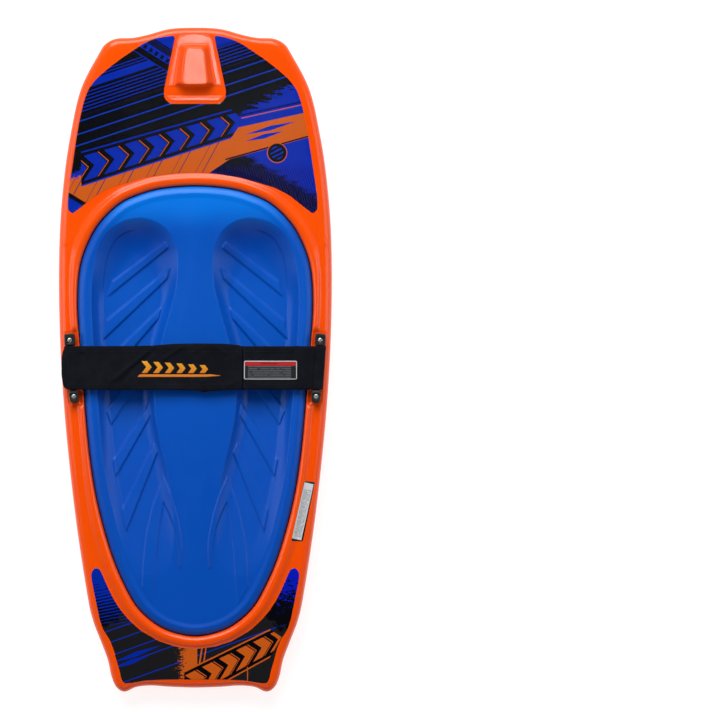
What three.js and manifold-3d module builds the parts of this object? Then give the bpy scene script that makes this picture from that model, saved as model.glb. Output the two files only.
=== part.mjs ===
// A kneeboard: a foam-filled polyethylene hull with a moulded tow hook and fins, a knee pad in its recess,
// two decals, and a hook-and-loop thigh strap held at both rails by a screwed bracket.
//
// Millimetres. +Y points to the nose, +X to the rider's right, +Z up. The origin is under the middle of the
// board, in the plane that the flat of the hull rests on.
import * as THREE from "three";
import { mergeVertices } from "three/addons/utils/BufferGeometryUtils.js";
import { ConvexGeometry } from "three/addons/geometries/ConvexGeometry.js";
import Module from "manifold-3d";

const wasm = await Module();
wasm.setup();

// ---- Hull ----
const HALF_LENGTH = 660.5;
const WALL = 4; // moulded shell
const GAP = 0.3; // between pieces that touch
const OUTLINE_STEP = 50; // spacing of the points round the outline
const HULL_SPINE = [-450, 450]; // the bottom's rings close on this stretch of the centre line
const CHINE = 0.3; // share of the way from the edge to the centre line where the flat bottom starts
const NOSE_START = 150; // the bottom is flat from TAIL_START to NOSE_START and rises beyond
const TAIL_START = -250;
const NOSE_ROCKER = 70;
const TAIL_ROCKER = 28;
const EDGE_HEIGHT = 48; // the rail's widest line, amidships
const NOSE_EDGE_RISE = 36;
const TAIL_EDGE_DROP = 5;
const DECK_HEIGHT = 66;
const NOSE_DECK_RISE = 33;
const TAIL_DECK_DROP = 8;
const RAIL_ROLL = 16; // width of the rounded rail on the deck side
const BEVEL = { inset: 9, drop: 9 }; // where the bottom bevel meets the rail, in from the edge and below it
const RAIL_UNDER = { inset: 2.5, drop: 6 }; // a point on the rail's round underside
const ROLL_STEPS = [2.5, 8]; // where the deck-side roll has its points, in from the edge
const BEAD_HEIGHT = 6;
const BEAD_PROFILE = [[0.78, 0.7], [0.48, 1], [0.18, 0.7]]; // shares of the bead's width and height
const SPINE_SHARE = 0.65; // the flat bottom's middle ring, as a share of the way to the centre line
const BEAD_WIDTH = [13, 23]; // at the rails and at the nose

// Right half of the outline in plan, from the nose to the tail.
const OUTLINE = [
  [0, 660.5], [50, 658], [94, 646.5], [124, 640.5], [156, 639], [177, 629], [190, 611], [228, 537],
  [250, 440], [262, 358], [270, 260], [272, 140], [268, 0], [257, -150], [238, -320], [216, -465],
  [205, -516], [190, -556], [175, -596], [168, -628], [158, -651], [141, -660.5], [118, -651],
  [88, -648], [50, -650.5], [0, -652],
];

// ---- Knee pad and its recess ----
const PAD_OUTLINE = [
  [0, 347], [60, 343], [103, 333], [150, 312], [192, 271], [218, 223], [231, 175], [234.5, 112],
  [231, 48], [222, -63], [210, -190], [194, -286], [168, -381], [142, -445], [115, -492], [80, -524],
  [45, -541], [0, -549],
];
const PAD_CENTRE_Y = -60; // both outlines are matched along rays from this point
const PAD_SPINE = [-430, 230];
const FLOOR_HEIGHT = 34;
const PAD_CLEARANCE = 1.2;
const PAD_CROWN = 4; // the pad's rim above the deck

// Right knee well's top edge: [y, inner x, outer x] from the nose end to the tail end.
const WELL_ROWS = [
  [281, 98, 110], [264, 62, 150], [240, 43, 180], [208, 34.5, 199], [152, 37, 207], [116, 45, 206.5],
  [80, 55, 205.5], [40, 66, 203.5], [0, 74, 200], [-59, 81, 196], [-110, 79, 191.5], [-160, 70, 187],
  [-220, 56, 180], [-290, 44, 166], [-350, 42, 151], [-400, 48, 132], [-438, 66, 112], [-455, 86, 94],
];
const WELL_SPINE = { x: 110, y: [-390, 200] }; // the line along the well that its floor closes on
const WELL_WALL = 0.26; // share of the way to that line that the sloping wall takes
const WELL_FLOOR = 44;
const WELL_FADE = { start: -40, end: -430, rise: 19 }; // the well gets shallower towards the tail

// ---- Tow hook ----
const HOOK = { front: 626, rear: 540, frontHalf: 28.5, rearHalf: 44, height: 26 };
const HOOK_TOP = { front: 619, rear: 546, frontHalf: 18.5, rearHalf: 27 };
const THROAT = { y: 533, above: 13.5, radius: 14.5, halfLength: 60 };
const FLANGE = [[0, 648], [35, 645], [44, 600], [58, 536], [56, 520], [46, 513], [0, 513]];
const FLANGE_HEIGHT = 3;

// ---- Fins under the hull: straight inside, bulging outwards ----
const NOSE_FIN = { inner: 141, bulge: 24, front: 595, rear: 339, depth: 12 };
const TAIL_FIN = { inner: 138, bulge: 17, front: -387, rear: -640, depth: 9 };
const FIN_ROOT = 2; // how far a fin reaches into the shell's wall
const FIN_STEPS = 10;

// ---- Strap brackets ----
const STRAP_Y = -15;
const BRACKET = { x: 244.6, y: -16, tilt: 4.2, length: 138, width: 22, base: 64.3, top: 84.4 };
const BRACKET_WINDOW = 92; // free length between its two feet
const BAR = { width: 14, low: 75, high: 81 };
const SCREW_SPACING = 112;
const SCREW = { headRadius: 5, headHeight: 2.8, shankRadius: 2, shankEnd: 50, seat: 80.8 };
const INSERT = { outer: 4.2, inner: 2.4, low: 46, high: 62 };
const LAND = { width: 24.5, length: 141, height: 64 }; // flat on the bead under a bracket
const BOSS_LOW = 40; // solid plastic under a land, from here up

// ---- Strap, layer by layer: heights are [low, high] ----
const STRAP_WIDTH = 86;
const WEB = { end: 212, z: [80.3, 82.3] };
const THIGH_PAD = { end: 212, z: [74.2, 80] };
const TAPE_SPAN = [-200, 70];
const LOOP_TAPE_Z = [82.6, 83.6];
const HOOK_TAPE_Z = [83.9, 84.9];
const TAPE_WIDTH = 74;
const FLAP = { left: -264, right: 94, z: [85.2, 88.2] };
const COVER = { left: 96, z: [82.6, 88.2] };
const BADGE = { x: [-114, 52], y: [-33, -2] };
const CAUTION = { x: [100, 202], y: [-38, -1] };
const PRINT_Z = [88.5, 89.1];
const LOOP = { gap: 0.4, thickness: 2, tail: 24 }; // webbing round a bar

// ---- Decals and labels: a thin film over the deck ----
const FILM = [GAP, 1.1];
const FILM_REACH = 10; // how far below and above the deck's own height a film may lie
const NOSE_DECAL = [
  [38, 640], [84, 629], [124, 606], [163, 575], [198, 545], [210, 528], [224, 441], [244, 390],
  [254, 319], [250, 304], [240, 300], [224, 322], [190, 344], [151, 362], [65, 374], [0, 376],
];
const NOSE_DECAL_SLOT = [[62, 534], [60, 518], [48, 509], [0, 509]]; // round the hook's flange
const TAIL_DECAL = [
  [197, -418], [204, -441], [199, -481], [187, -522], [171, -554], [160, -592], [148, -622],
  [138, -642], [112, -637], [72, -634], [0, -640],
];
const TAIL_DECAL_INNER = [[0, -574], [42, -567], [80, -553], [120, -531], [151, -505], [173, -473]];
const RAIL_LABEL = [[217, -240], [238, -242], [214, -360], [191, -359]];

// ---- Foam filling holes in the recess floor, under the pad ----
const FILL_HOLE = { radius: 14, ys: [180, -300] };
const TURNED_SIDES = 16; // of screws, inserts and plugs
const ROD_SIDES = 20; // of round holes

// ---- Helpers ----

const vec = (x, y, z) => new THREE.Vector3(x, y, z);
const clamp = THREE.MathUtils.clamp;
const lerp = THREE.MathUtils.lerp;

/** Points of a smooth closed outline through the given right half and its mirror image, right half only. */
function smoothHalf(half, step) {
  const mirrored = half.slice(1, -1).reverse().map(([x, y]) => [-x, y]);
  const knots = [...half, ...mirrored].map(([x, y]) => vec(x, y, 0));
  const curve = new THREE.CatmullRomCurve3(knots, true, "catmullrom", 0.5);
  const points = [];
  for (let k = 0; k < half.length - 1; k++) {
    const parts = Math.max(1, Math.round(knots[k].distanceTo(knots[k + 1]) / step));
    for (let part = 0; part < parts; part++) points.push(curve.getPoint((k + part / parts) / knots.length));
  }
  return [...points, knots[half.length - 1].clone()];
}

/** Adds the mirror image of a right half whose ends lie on the centre line. */
function mirrorHalf(half) {
  return [...half, ...half.slice(1, -1).reverse().map((p) => vec(-p.x, p.y, p.z))];
}

/** Outward direction in plan at each point of a closed clockwise loop. */
function outwardOf(loop) {
  return loop.map((_, i) => {
    const before = loop[(i + loop.length - 1) % loop.length];
    const after = loop[(i + 1) % loop.length];
    return vec(before.y - after.y, after.x - before.x, 0).normalize();
  });
}

/** Where the ray from the pad's centre through point p meets the right half of the pad's outline. */
function padPointToward(p, padHalf) {
  const angle = (q) => Math.atan2(q.x, q.y - PAD_CENTRE_Y);
  const wanted = angle(p);
  const k = clamp(padHalf.findIndex((q) => angle(q) >= wanted - 1e-9), 1, padHalf.length - 1);
  const [from, to] = [padHalf[k - 1], padHalf[k]];
  const share = (wanted - angle(from)) / (angle(to) - angle(from));
  return from.clone().lerp(to, clamp(share, 0, 1));
}

/** Merges vertices at one place and drops triangles that have no area left. */
function welded(geometry) {
  const bare = geometry.clone();
  for (const name of Object.keys(bare.attributes)) if (name !== "position") bare.deleteAttribute(name);
  const merged = mergeVertices(bare, 1e-3);
  const kept = [];
  const index = merged.index.array;
  for (let i = 0; i < index.length; i += 3) {
    const [a, b, c] = index.slice(i, i + 3);
    if (a !== b && b !== c && c !== a) kept.push(a, b, c);
  }
  merged.setIndex(kept);
  return merged;
}

/** The side walls between clockwise rings, from the bottom up, as an index of triangles. */
function wallIndex(rings) {
  const count = rings[0].length;
  const index = [];
  for (let r = 0; r < rings.length - 1; r++) {
    for (let i = 0; i < count; i++) {
      const [a, b] = [r * count + i, r * count + ((i + 1) % count)];
      index.push(a, a + count, b + count, a, b + count, b);
    }
  }
  return index;
}

function ringGeometry(rings, index) {
  const positions = rings.flat().flatMap((p) => [p.x, p.y, p.z]);
  const geometry = new THREE.BufferGeometry();
  geometry.setAttribute("position", new THREE.Float32BufferAttribute(positions, 3));
  geometry.setIndex(index);
  return welded(geometry);
}

/** A closed body through clockwise rings; the first and last ring lie on a spine. */
const ringBody = (rings) => ringGeometry(rings, wallIndex(rings));

/** A closed body through clockwise rings, with a cap across the first and the last. */
function cappedBody(rings) {
  const [index, count, last] = [wallIndex(rings), rings[0].length, (rings.length - 1) * rings[0].length];
  for (const [ring, offset, facesUp] of [[rings[0], 0, false], [rings.at(-1), last, true]]) {
    const flat = ring.slice(0, count).map((p) => new THREE.Vector2(p.x, p.y));
    for (const [a, b, c] of THREE.ShapeUtils.triangulateShape(flat, [])) {
      const turnsLeft = flat[b].clone().sub(flat[a]).cross(flat[c].clone().sub(flat[a])) > 0;
      index.push(a + offset, ...(turnsLeft === facesUp ? [b + offset, c + offset] : [c + offset, b + offset]));
    }
  }
  return ringGeometry(rings, index);
}

/** A vertical wall round a plan outline between two heights, which may depend on the place. */
function slab(outline, low, high) {
  const flat = outline.map((p) => new THREE.Vector2(p.x, p.y));
  const loop = THREE.ShapeUtils.isClockWise(flat) ? outline : [...outline].reverse();
  return cappedBody([low, high].map((height) => loop.map((p) => vec(p.x, p.y, height(p)))));
}

/** The same surface moved outwards along its normals. */
function grown(geometry, distance) {
  const moved = geometry.clone();
  moved.computeVertexNormals();
  const { position, normal } = moved.attributes;
  for (let i = 0; i < position.count; i++) {
    position.setXYZ(
      i,
      position.getX(i) + normal.getX(i) * distance,
      position.getY(i) + normal.getY(i) * distance,
      position.getZ(i) + normal.getZ(i) * distance,
    );
  }
  moved.deleteAttribute("normal");
  return moved;
}

function toSolid(geometry) {
  const merged = welded(geometry.index ? geometry : mergeVertices(geometry, 1e-3));
  const vertProperties = merged.attributes.position.array;
  const triVerts = new Uint32Array(merged.index.array);
  return new wasm.Manifold(new wasm.Mesh({ numProp: 3, vertProperties, triVerts }));
}

function toGeometry(solid) {
  const mesh = solid.getMesh();
  const geometry = new THREE.BufferGeometry();
  geometry.setAttribute("position", new THREE.Float32BufferAttribute(mesh.vertProperties, 3));
  geometry.setIndex(new THREE.BufferAttribute(mesh.triVerts, 1));
  return geometry;
}

/** A box between two corners. */
function boxBetween([x0, x1], [y0, y1], [z0, z1]) {
  const box = new THREE.BoxGeometry(x1 - x0, y1 - y0, z1 - z0);
  return box.translate((x0 + x1) / 2, (y0 + y1) / 2, (z0 + z1) / 2);
}

/** A rod along Z. */
function rod(radius, low, high) {
  const geometry = new THREE.CylinderGeometry(radius, radius, high - low, ROD_SIDES);
  return geometry.rotateX(Math.PI / 2).translate(0, 0, (low + high) / 2);
}

/** A surface of revolution about Z from a closed profile of [radius, height] pairs. */
function turned(profile) {
  const points = profile.map(([r, z]) => new THREE.Vector2(r, z));
  return new THREE.LatheGeometry(points, TURNED_SIDES).rotateX(Math.PI / 2);
}

/** A plan outline from pairs of numbers, mirrored to the left when asked. */
function plan(pairs, side = 1) {
  return pairs.map(([x, y]) => vec(side * x, y, 0));
}

/** Places a geometry that was made at the origin into a bracket's tilted frame; side is -1 or 1. */
function atBracket(geometry, side) {
  const turn = THREE.MathUtils.degToRad(-side * BRACKET.tilt);
  return geometry.rotateZ(turn).translate(side * BRACKET.x, BRACKET.y, 0);
}

// ---- The hull's heights ----

const noseShare = (y) => (Math.max(0, y - NOSE_START) / (HALF_LENGTH - NOSE_START)) ** 2;
const tailShare = (y) => (Math.max(0, TAIL_START - y) / (HALF_LENGTH + TAIL_START)) ** 2;
const rocker = (y) => NOSE_ROCKER * noseShare(y) + TAIL_ROCKER * tailShare(y);
const edgeHeight = (y) => EDGE_HEIGHT + NOSE_EDGE_RISE * noseShare(y) - TAIL_EDGE_DROP * tailShare(y);
const deckHeight = (y) => DECK_HEIGHT + NOSE_DECK_RISE * noseShare(y) - TAIL_DECK_DROP * tailShare(y);
const padHeight = (y) => deckHeight(y) + PAD_CROWN;
const wellFloor = (y) => WELL_FLOOR + WELL_FADE.rise * clamp(
  (WELL_FADE.start - y) / (WELL_FADE.start - WELL_FADE.end), 0, 1);

// ---- Matched rings of the hull's outline and the pad's outline ----

const outlineHalf = smoothHalf(OUTLINE, OUTLINE_STEP);
const padHalfFine = smoothHalf(PAD_OUTLINE, 4);
const padHalf = outlineHalf.map((p) => padPointToward(p, padHalfFine));
padHalf[0].x = padHalf[padHalf.length - 1].x = 0;
const edge = mirrorHalf(outlineHalf);
const rim = mirrorHalf(padHalf);
const edgeOut = outwardOf(edge);
const rimOut = outwardOf(rim);
const beadWidth = edge.map((p, i) => clamp(0.3 * p.distanceTo(rim[i]), ...BEAD_WIDTH));

/** A ring at a distance inside the hull's edge, at a height that depends on the place. */
const insideEdge = (distance, height) => edge.map((p, i) => {
  const q = p.clone().addScaledVector(edgeOut[i], -distance);
  return q.setZ(height(q.y));
});

/** A ring at an offset from the recess's rim: positive outwards, in bead widths or in millimetres. */
const roundRim = (offset, height) => rim.map((p, i) => {
  const q = p.clone().addScaledVector(rimOut[i], offset(i));
  return q.setZ(height(q.y));
});

/** A ring part of the way from a ring to a spine on the centre line. */
const toSpine = (ring, share, [low, high], height) => ring.map((p) => {
  const q = vec(lerp(p.x, 0, share), lerp(p.y, clamp(p.y, low, high), share), 0);
  return q.setZ(height(q.y));
});

function hullRings() {
  const roll = (distance) => (y) => {
    const rise = deckHeight(y) - edgeHeight(y);
    return edgeHeight(y) + rise * Math.sqrt(1 - (1 - distance / RAIL_ROLL) ** 2);
  };
  const railTop = insideEdge(RAIL_ROLL, deckHeight);
  const beadFoot = roundRim((i) => beadWidth[i] + 2, deckHeight);
  const deckMiddle = railTop.map((p, i) => {
    const q = p.clone().lerp(beadFoot[i], 0.5);
    return q.setZ(deckHeight(q.y));
  });
  return [
    toSpine(edge, 1, HULL_SPINE, rocker),
    toSpine(edge, SPINE_SHARE, HULL_SPINE, rocker),
    toSpine(edge, CHINE, HULL_SPINE, rocker),
    insideEdge(BEVEL.inset, (y) => edgeHeight(y) - BEVEL.drop),
    insideEdge(RAIL_UNDER.inset, (y) => edgeHeight(y) - RAIL_UNDER.drop),
    insideEdge(0, edgeHeight),
    ...ROLL_STEPS.map((distance) => insideEdge(distance, roll(distance))),
    railTop,
    deckMiddle,
    beadFoot,
    ...BEAD_PROFILE.map(([across, up]) => (
      roundRim((i) => across * beadWidth[i], (y) => deckHeight(y) + up * BEAD_HEIGHT))),
    roundRim(() => 0, deckHeight),
    roundRim(() => 0, () => FLOOR_HEIGHT),
    toSpine(rim, 0.5, PAD_SPINE, () => FLOOR_HEIGHT),
    toSpine(rim, 1, PAD_SPINE, () => FLOOR_HEIGHT),
  ];
}

/** The hull's rings moved inwards by an inset, without the bead. */
function insideRings(inset) {
  const bottom = (y) => rocker(y) + inset;
  const floor = () => FLOOR_HEIGHT - inset;
  const deck = (y) => deckHeight(y) - inset;
  const radius = RAIL_ROLL - inset;
  const rollStep = radius / 3;
  const roll = (distance) => (y) => lerp(edgeHeight(y), deck(y), Math.sqrt(1 - (1 - distance / radius) ** 2));
  const railTop = insideEdge(RAIL_ROLL, deck);
  const recessTop = roundRim(() => inset, deck);
  const deckMiddle = railTop.map((p, i) => {
    const q = p.clone().lerp(recessTop[i], 0.5);
    return q.setZ(deck(q.y));
  });
  return [
    toSpine(edge, 1, HULL_SPINE, bottom),
    toSpine(edge, SPINE_SHARE, HULL_SPINE, bottom),
    toSpine(edge, CHINE, HULL_SPINE, bottom),
    insideEdge(BEVEL.inset + 0.5 * inset, (y) => edgeHeight(y) - BEVEL.drop + 0.85 * inset),
    insideEdge(inset, edgeHeight),
    insideEdge(inset + rollStep, roll(rollStep)),
    railTop,
    deckMiddle,
    recessTop,
    roundRim(() => inset, floor),
    toSpine(rim, 0.5, PAD_SPINE, floor),
    toSpine(rim, 1, PAD_SPINE, floor),
  ];
}

// ---- Sub-parts of the hull ----

const hullSurface = ringBody(hullRings());
const hullOuter = toSolid(hullSurface);

/** Solid blocks under the brackets' lands, grown by a margin. */
function bossBlocks(margin) {
  const [w, l] = [LAND.width / 2 + margin, LAND.length / 2 + margin];
  const block = () => boxBetween([-w, w], [-l, l], [BOSS_LOW - margin, LAND.height + 10]);
  return [-1, 1].map((side) => toSolid(atBracket(block(), side)));
}

/** The space inside the shell, or the foam that fills it when shrunk by the usual gap. */
function hullInside(gap) {
  const space = toSolid(ringBody(insideRings(WALL + gap)));
  return bossBlocks(gap).reduce((solid, block) => solid.subtract(block), space);
}

/** Both ends of a bracket's screw line, in the bracket's frame. */
const screwYs = [SCREW_SPACING / 2, -SCREW_SPACING / 2];

function towHook() {
  const corners = (size, z) => [
    [size.frontHalf, size.front], [-size.frontHalf, size.front], [size.rearHalf, size.rear],
    [-size.rearHalf, size.rear],
  ].map(([x, y]) => vec(x, y, deckHeight(y) + z));
  const block = new ConvexGeometry([...corners(HOOK, -2), ...corners(HOOK_TOP, HOOK.height)]);
  const flangeOutline = [...plan(FLANGE), ...plan(FLANGE, -1).slice(1, -1).reverse()];
  const flange = slab(flangeOutline, (p) => deckHeight(p.y) - 2, (p) => deckHeight(p.y) + FLANGE_HEIGHT);
  const throat = new THREE.CylinderGeometry(THROAT.radius, THROAT.radius, 2 * THROAT.halfLength, 32);
  throat.rotateZ(Math.PI / 2).translate(0, THROAT.y, deckHeight(THROAT.y) + THROAT.above);
  return toSolid(block).add(toSolid(flange)).subtract(toSolid(throat));
}

/** A fin as deep and as wide in its middle as it gets, running out to nothing at both ends. */
function fin({ inner, bulge, front, rear, depth }, side) {
  const sweep = (y) => Math.sin(Math.PI * clamp((front - y) / (front - rear), 0, 1));
  const outer = (y) => inner + 4 + (bulge - 4) * sweep(y);
  const ys = Array.from({ length: FIN_STEPS + 1 }, (_, k) => lerp(front, rear, k / FIN_STEPS));
  const low = (y) => rocker(y) - depth * sweep(y) + 0.5;
  const high = (y) => rocker(y) + FIN_ROOT;
  const ring = (x0, x1, height) => [
    ...ys.map((y) => vec(x1(y), y, height(y))),
    ...ys.map((y) => vec(x0(y), y, height(y))).reverse(),
  ];
  const middle = (y) => (inner + outer(y)) / 2;
  const solid = toSolid(ringBody([
    ring(middle, middle, low),
    ring(() => inner, outer, low),
    ring(() => inner, outer, high),
    ring(middle, middle, high),
  ]));
  return side > 0 ? solid : solid.mirror([1, 0, 0]);
}

function hullShell() {
  let shell = hullOuter.subtract(hullInside(0));
  for (const side of [-1, 1]) {
    const [w, l] = [LAND.width / 2, LAND.length / 2];
    shell = shell.subtract(toSolid(atBracket(boxBetween([-w, w], [-l, l], [LAND.height, 100]), side)));
    for (const y of screwYs) {
      const hole = rod(INSERT.outer + GAP, INSERT.low - GAP, LAND.height + 1).translate(0, y, 0);
      shell = shell.subtract(toSolid(atBracket(hole, side)));
    }
  }
  for (const y of FILL_HOLE.ys) {
    const hole = rod(FILL_HOLE.radius, FLOOR_HEIGHT - 8, FLOOR_HEIGHT + 1).translate(0, y, 0);
    shell = shell.subtract(toSolid(hole));
  }
  const fins = [-1, 1].flatMap((side) => [fin(NOSE_FIN, side), fin(TAIL_FIN, side)]);
  return toGeometry([towHook(), ...fins].reduce((solid, piece) => solid.add(piece), shell));
}

/** A film over the deck inside a plan outline. */
const filmLayer = toSolid(grown(hullSurface, FILM[1])).subtract(toSolid(grown(hullSurface, FILM[0])));

function film(outline) {
  const prism = slab(outline, (p) => deckHeight(p.y) - FILM_REACH, (p) => deckHeight(p.y) + FILM_REACH);
  return toGeometry(filmLayer.intersect(toSolid(prism)));
}

function noseDecal() {
  const right = plan(NOSE_DECAL);
  const left = plan(NOSE_DECAL, -1).slice(0, -1).reverse();
  const slot = [...plan(NOSE_DECAL_SLOT, -1).slice(0, -1), ...plan(NOSE_DECAL_SLOT).reverse()];
  return film([...right, ...left, ...slot]);
}

function tailDecal() {
  const right = [...plan(TAIL_DECAL_INNER), ...plan(TAIL_DECAL)];
  const left = right.map((p) => vec(-p.x, p.y, 0)).reverse();
  return film([...right, ...left.slice(1, -1)]);
}

function fillPlug(y) {
  const radius = FILL_HOLE.radius - GAP;
  const [low, high] = [FLOOR_HEIGHT - WALL + GAP, FLOOR_HEIGHT];
  return turned([[0, low], [radius - 1, low], [radius, low + 1], [radius, high], [0, high]]).translate(0, y, 0);
}

// ---- Knee pad ----

function kneePad() {
  const low = () => FLOOR_HEIGHT + GAP;
  const inset = (distance) => () => -distance;
  const crown = (y) => padHeight(y) - 0.5;
  const body = toSolid(ringBody([
    toSpine(rim, 1, PAD_SPINE, low),
    toSpine(rim, 0.5, PAD_SPINE, low),
    roundRim(inset(PAD_CLEARANCE), low),
    roundRim(inset(PAD_CLEARANCE), (y) => padHeight(y) - 10),
    roundRim(inset(3.5), (y) => padHeight(y) - 4),
    roundRim(inset(13), padHeight),
    roundRim(inset(26), crown),
    toSpine(rim, 0.55, PAD_SPINE, crown),
    toSpine(rim, 1, PAD_SPINE, crown),
  ]));
  return toGeometry([-1, 1].reduce((solid, side) => solid.subtract(kneeWell(side)), body));
}

/** What a knee well takes out of the pad. */
function kneeWell(side) {
  const outer = WELL_ROWS.map(([y, , x]) => vec(x, y, 0));
  const inner = WELL_ROWS.map(([y, x]) => vec(x, y, 0));
  const outline = [...outer, ...inner.reverse()];
  const ring = (share, height) => outline.map((p) => {
    const q = vec(lerp(p.x, WELL_SPINE.x, share), lerp(p.y, clamp(p.y, ...WELL_SPINE.y), share), 0);
    return q.setZ(height(q.y));
  });
  const above = () => 2 * DECK_HEIGHT;
  const solid = toSolid(ringBody([
    ring(1, wellFloor),
    ring(WELL_WALL, wellFloor),
    ring(0, padHeight),
    ring(0, above),
    ring(1, above),
  ]));
  return side > 0 ? solid : solid.mirror([1, 0, 0]);
}

// ---- Brackets, screws and inserts ----

function bracket(side) {
  const { length, width, base, top } = BRACKET;
  const radius = width / 2;
  const straight = length / 2 - radius;
  const outline = new THREE.Shape();
  outline.absarc(0, straight, radius, 0, Math.PI, false);
  outline.absarc(0, -straight, radius, Math.PI, 2 * Math.PI, false);
  const bevel = 1.5;
  const block = new THREE.ExtrudeGeometry(outline, {
    depth: top - base - bevel,
    bevelThickness: bevel,
    bevelSize: bevel,
    bevelOffset: -bevel,
    bevelSegments: 2,
    curveSegments: 10,
  }).translate(0, 0, base);
  const flatBase = boxBetween([-width, width], [-length, length], [base - 10, base]);
  const window = boxBetween([-width, width], [-BRACKET_WINDOW / 2, BRACKET_WINDOW / 2], [base - 1, top + 1]);
  const barLength = BRACKET_WINDOW / 2 + 4;
  const bar = boxBetween([-BAR.width / 2, BAR.width / 2], [-barLength, barLength], [BAR.low, BAR.high]);
  let solid = toSolid(block).subtract(toSolid(flatBase)).subtract(toSolid(window)).add(toSolid(bar));
  for (const y of screwYs) {
    const counterbore = rod(SCREW.headRadius + 0.8, SCREW.seat, top + 1).translate(0, y, 0);
    const hole = rod(SCREW.shankRadius + 0.4, base - 1, top).translate(0, y, 0);
    solid = solid.subtract(toSolid(counterbore)).subtract(toSolid(hole));
  }
  return atBracket(toGeometry(solid), side);
}

function screw(side, y) {
  const { headRadius, headHeight, shankRadius, shankEnd, seat } = SCREW;
  const low = seat + GAP;
  const geometry = turned([
    [0, shankEnd],
    [shankRadius - 0.8, shankEnd],
    [shankRadius, shankEnd + 1.5],
    [shankRadius, low],
    [headRadius, low],
    [headRadius, low + headHeight * 0.45],
    [headRadius * 0.7, low + headHeight * 0.9],
    [2, low + headHeight],
    [0, low + headHeight * 0.55],
  ]);
  return atBracket(geometry.translate(0, y, 0), side);
}

function insert(side, y) {
  const { outer, inner, low, high } = INSERT;
  const groove = (high + low) / 2;
  const geometry = turned([
    [inner, low],
    [outer, low],
    [outer, groove - 1],
    [outer - 0.7, groove - 1],
    [outer - 0.7, groove + 1],
    [outer, groove + 1],
    [outer, high],
    [inner, high],
    [inner, low],
  ]);
  return atBracket(geometry.translate(0, y, 0), side);
}

// ---- Strap ----

/** One flat layer of the strap. */
function layer(xs, zs, width = STRAP_WIDTH) {
  return boxBetween(xs, [STRAP_Y - width / 2, STRAP_Y + width / 2], zs);
}

/** The outer fabric flap: its free left end is rounded. */
function strapFlap() {
  const { left, right, z: [low, high] } = FLAP;
  const half = STRAP_WIDTH / 2;
  const radius = 12;
  const shape = new THREE.Shape();
  shape.moveTo(right, -half);
  shape.lineTo(right, half);
  shape.absarc(left + radius, half - radius, radius, Math.PI / 2, Math.PI, false);
  shape.absarc(left + radius, -half + radius, radius, Math.PI, 1.5 * Math.PI, false);
  const geometry = new THREE.ExtrudeGeometry(shape, {
    depth: high - low, bevelEnabled: false, curveSegments: 6,
  });
  return geometry.translate(0, STRAP_Y, low);
}

/** The web that goes round a bracket's bar, with its two ends side by side towards the middle. */
function strapLoop(side) {
  const { gap, thickness, tail } = LOOP;
  const middle = (BAR.low + BAR.high) / 2;
  const inner = (BAR.high - BAR.low) / 2 + gap;
  const outer = inner + thickness;
  const turn = BAR.width / 2;
  const shape = new THREE.Shape();
  shape.moveTo(-tail, outer);
  shape.absarc(turn, 0, outer, Math.PI / 2, -Math.PI / 2, true);
  shape.lineTo(-tail, -outer);
  shape.lineTo(-tail, -inner);
  shape.absarc(turn, 0, inner, -Math.PI / 2, Math.PI / 2, false);
  shape.lineTo(-tail, inner);
  const geometry = new THREE.ExtrudeGeometry(shape, {
    depth: STRAP_WIDTH, bevelEnabled: false, curveSegments: 8,
  });
  geometry.rotateX(Math.PI / 2).translate(0, STRAP_WIDTH / 2, middle);
  if (side < 0) geometry.rotateZ(Math.PI);
  return atBracket(geometry, side);
}

// ---- Materials ----

const finish = (color, roughness, metalness = 0) => (
  new THREE.MeshStandardMaterial({ color, roughness, metalness }));
const orangeHull = finish(0xf25a10, 0.35);
const foam = finish(0xe8dfb8, 0.9);
const greyPlug = finish(0x55585c, 0.5);
const bluePad = finish(0x0a5cc8, 0.6);
const inkFilm = finish(0x101a4a, 0.35);
const whiteFilm = finish(0xd8dade, 0.35);
const blackNylon = finish(0x14161a, 0.45);
const steel = finish(0xc8cacd, 0.3, 1);
const brass = finish(0xb08d3c, 0.35, 1);
const blackWeb = finish(0x101216, 0.85);
const neoprene = finish(0x17191d, 0.8);
const hookTape = finish(0x1b1d21, 0.95);
const goldPrint = finish(0xe09618, 0.5);
const redPrint = finish(0xa01c22, 0.5);

// ---- Assembly ----

const board = new THREE.Group();

function put(name, geometry, material) {
  const mesh = new THREE.Mesh(geometry, material);
  mesh.name = name;
  board.add(mesh);
}

put("hull_shell", hullShell(), orangeHull);
put("foam_core", toGeometry(hullInside(GAP)), foam);
FILL_HOLE.ys.forEach((y, k) => put(["fill_plug_front", "fill_plug_rear"][k], fillPlug(y), greyPlug));
put("knee_pad", kneePad(), bluePad);
put("nose_decal", noseDecal(), inkFilm);
put("tail_decal", tailDecal(), inkFilm);
put("rail_label", film(plan(RAIL_LABEL)), whiteFilm);

for (const [word, side] of [["left", -1], ["right", 1]]) {
  put(`bracket_${word}`, bracket(side), blackNylon);
  put(`strap_loop_${word}`, strapLoop(side), blackWeb);
  screwYs.forEach((y, k) => {
    const place = ["front", "rear"][k];
    put(`screw_${word}_${place}`, screw(side, y), steel);
    put(`insert_${word}_${place}`, insert(side, y), brass);
  });
}

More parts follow.
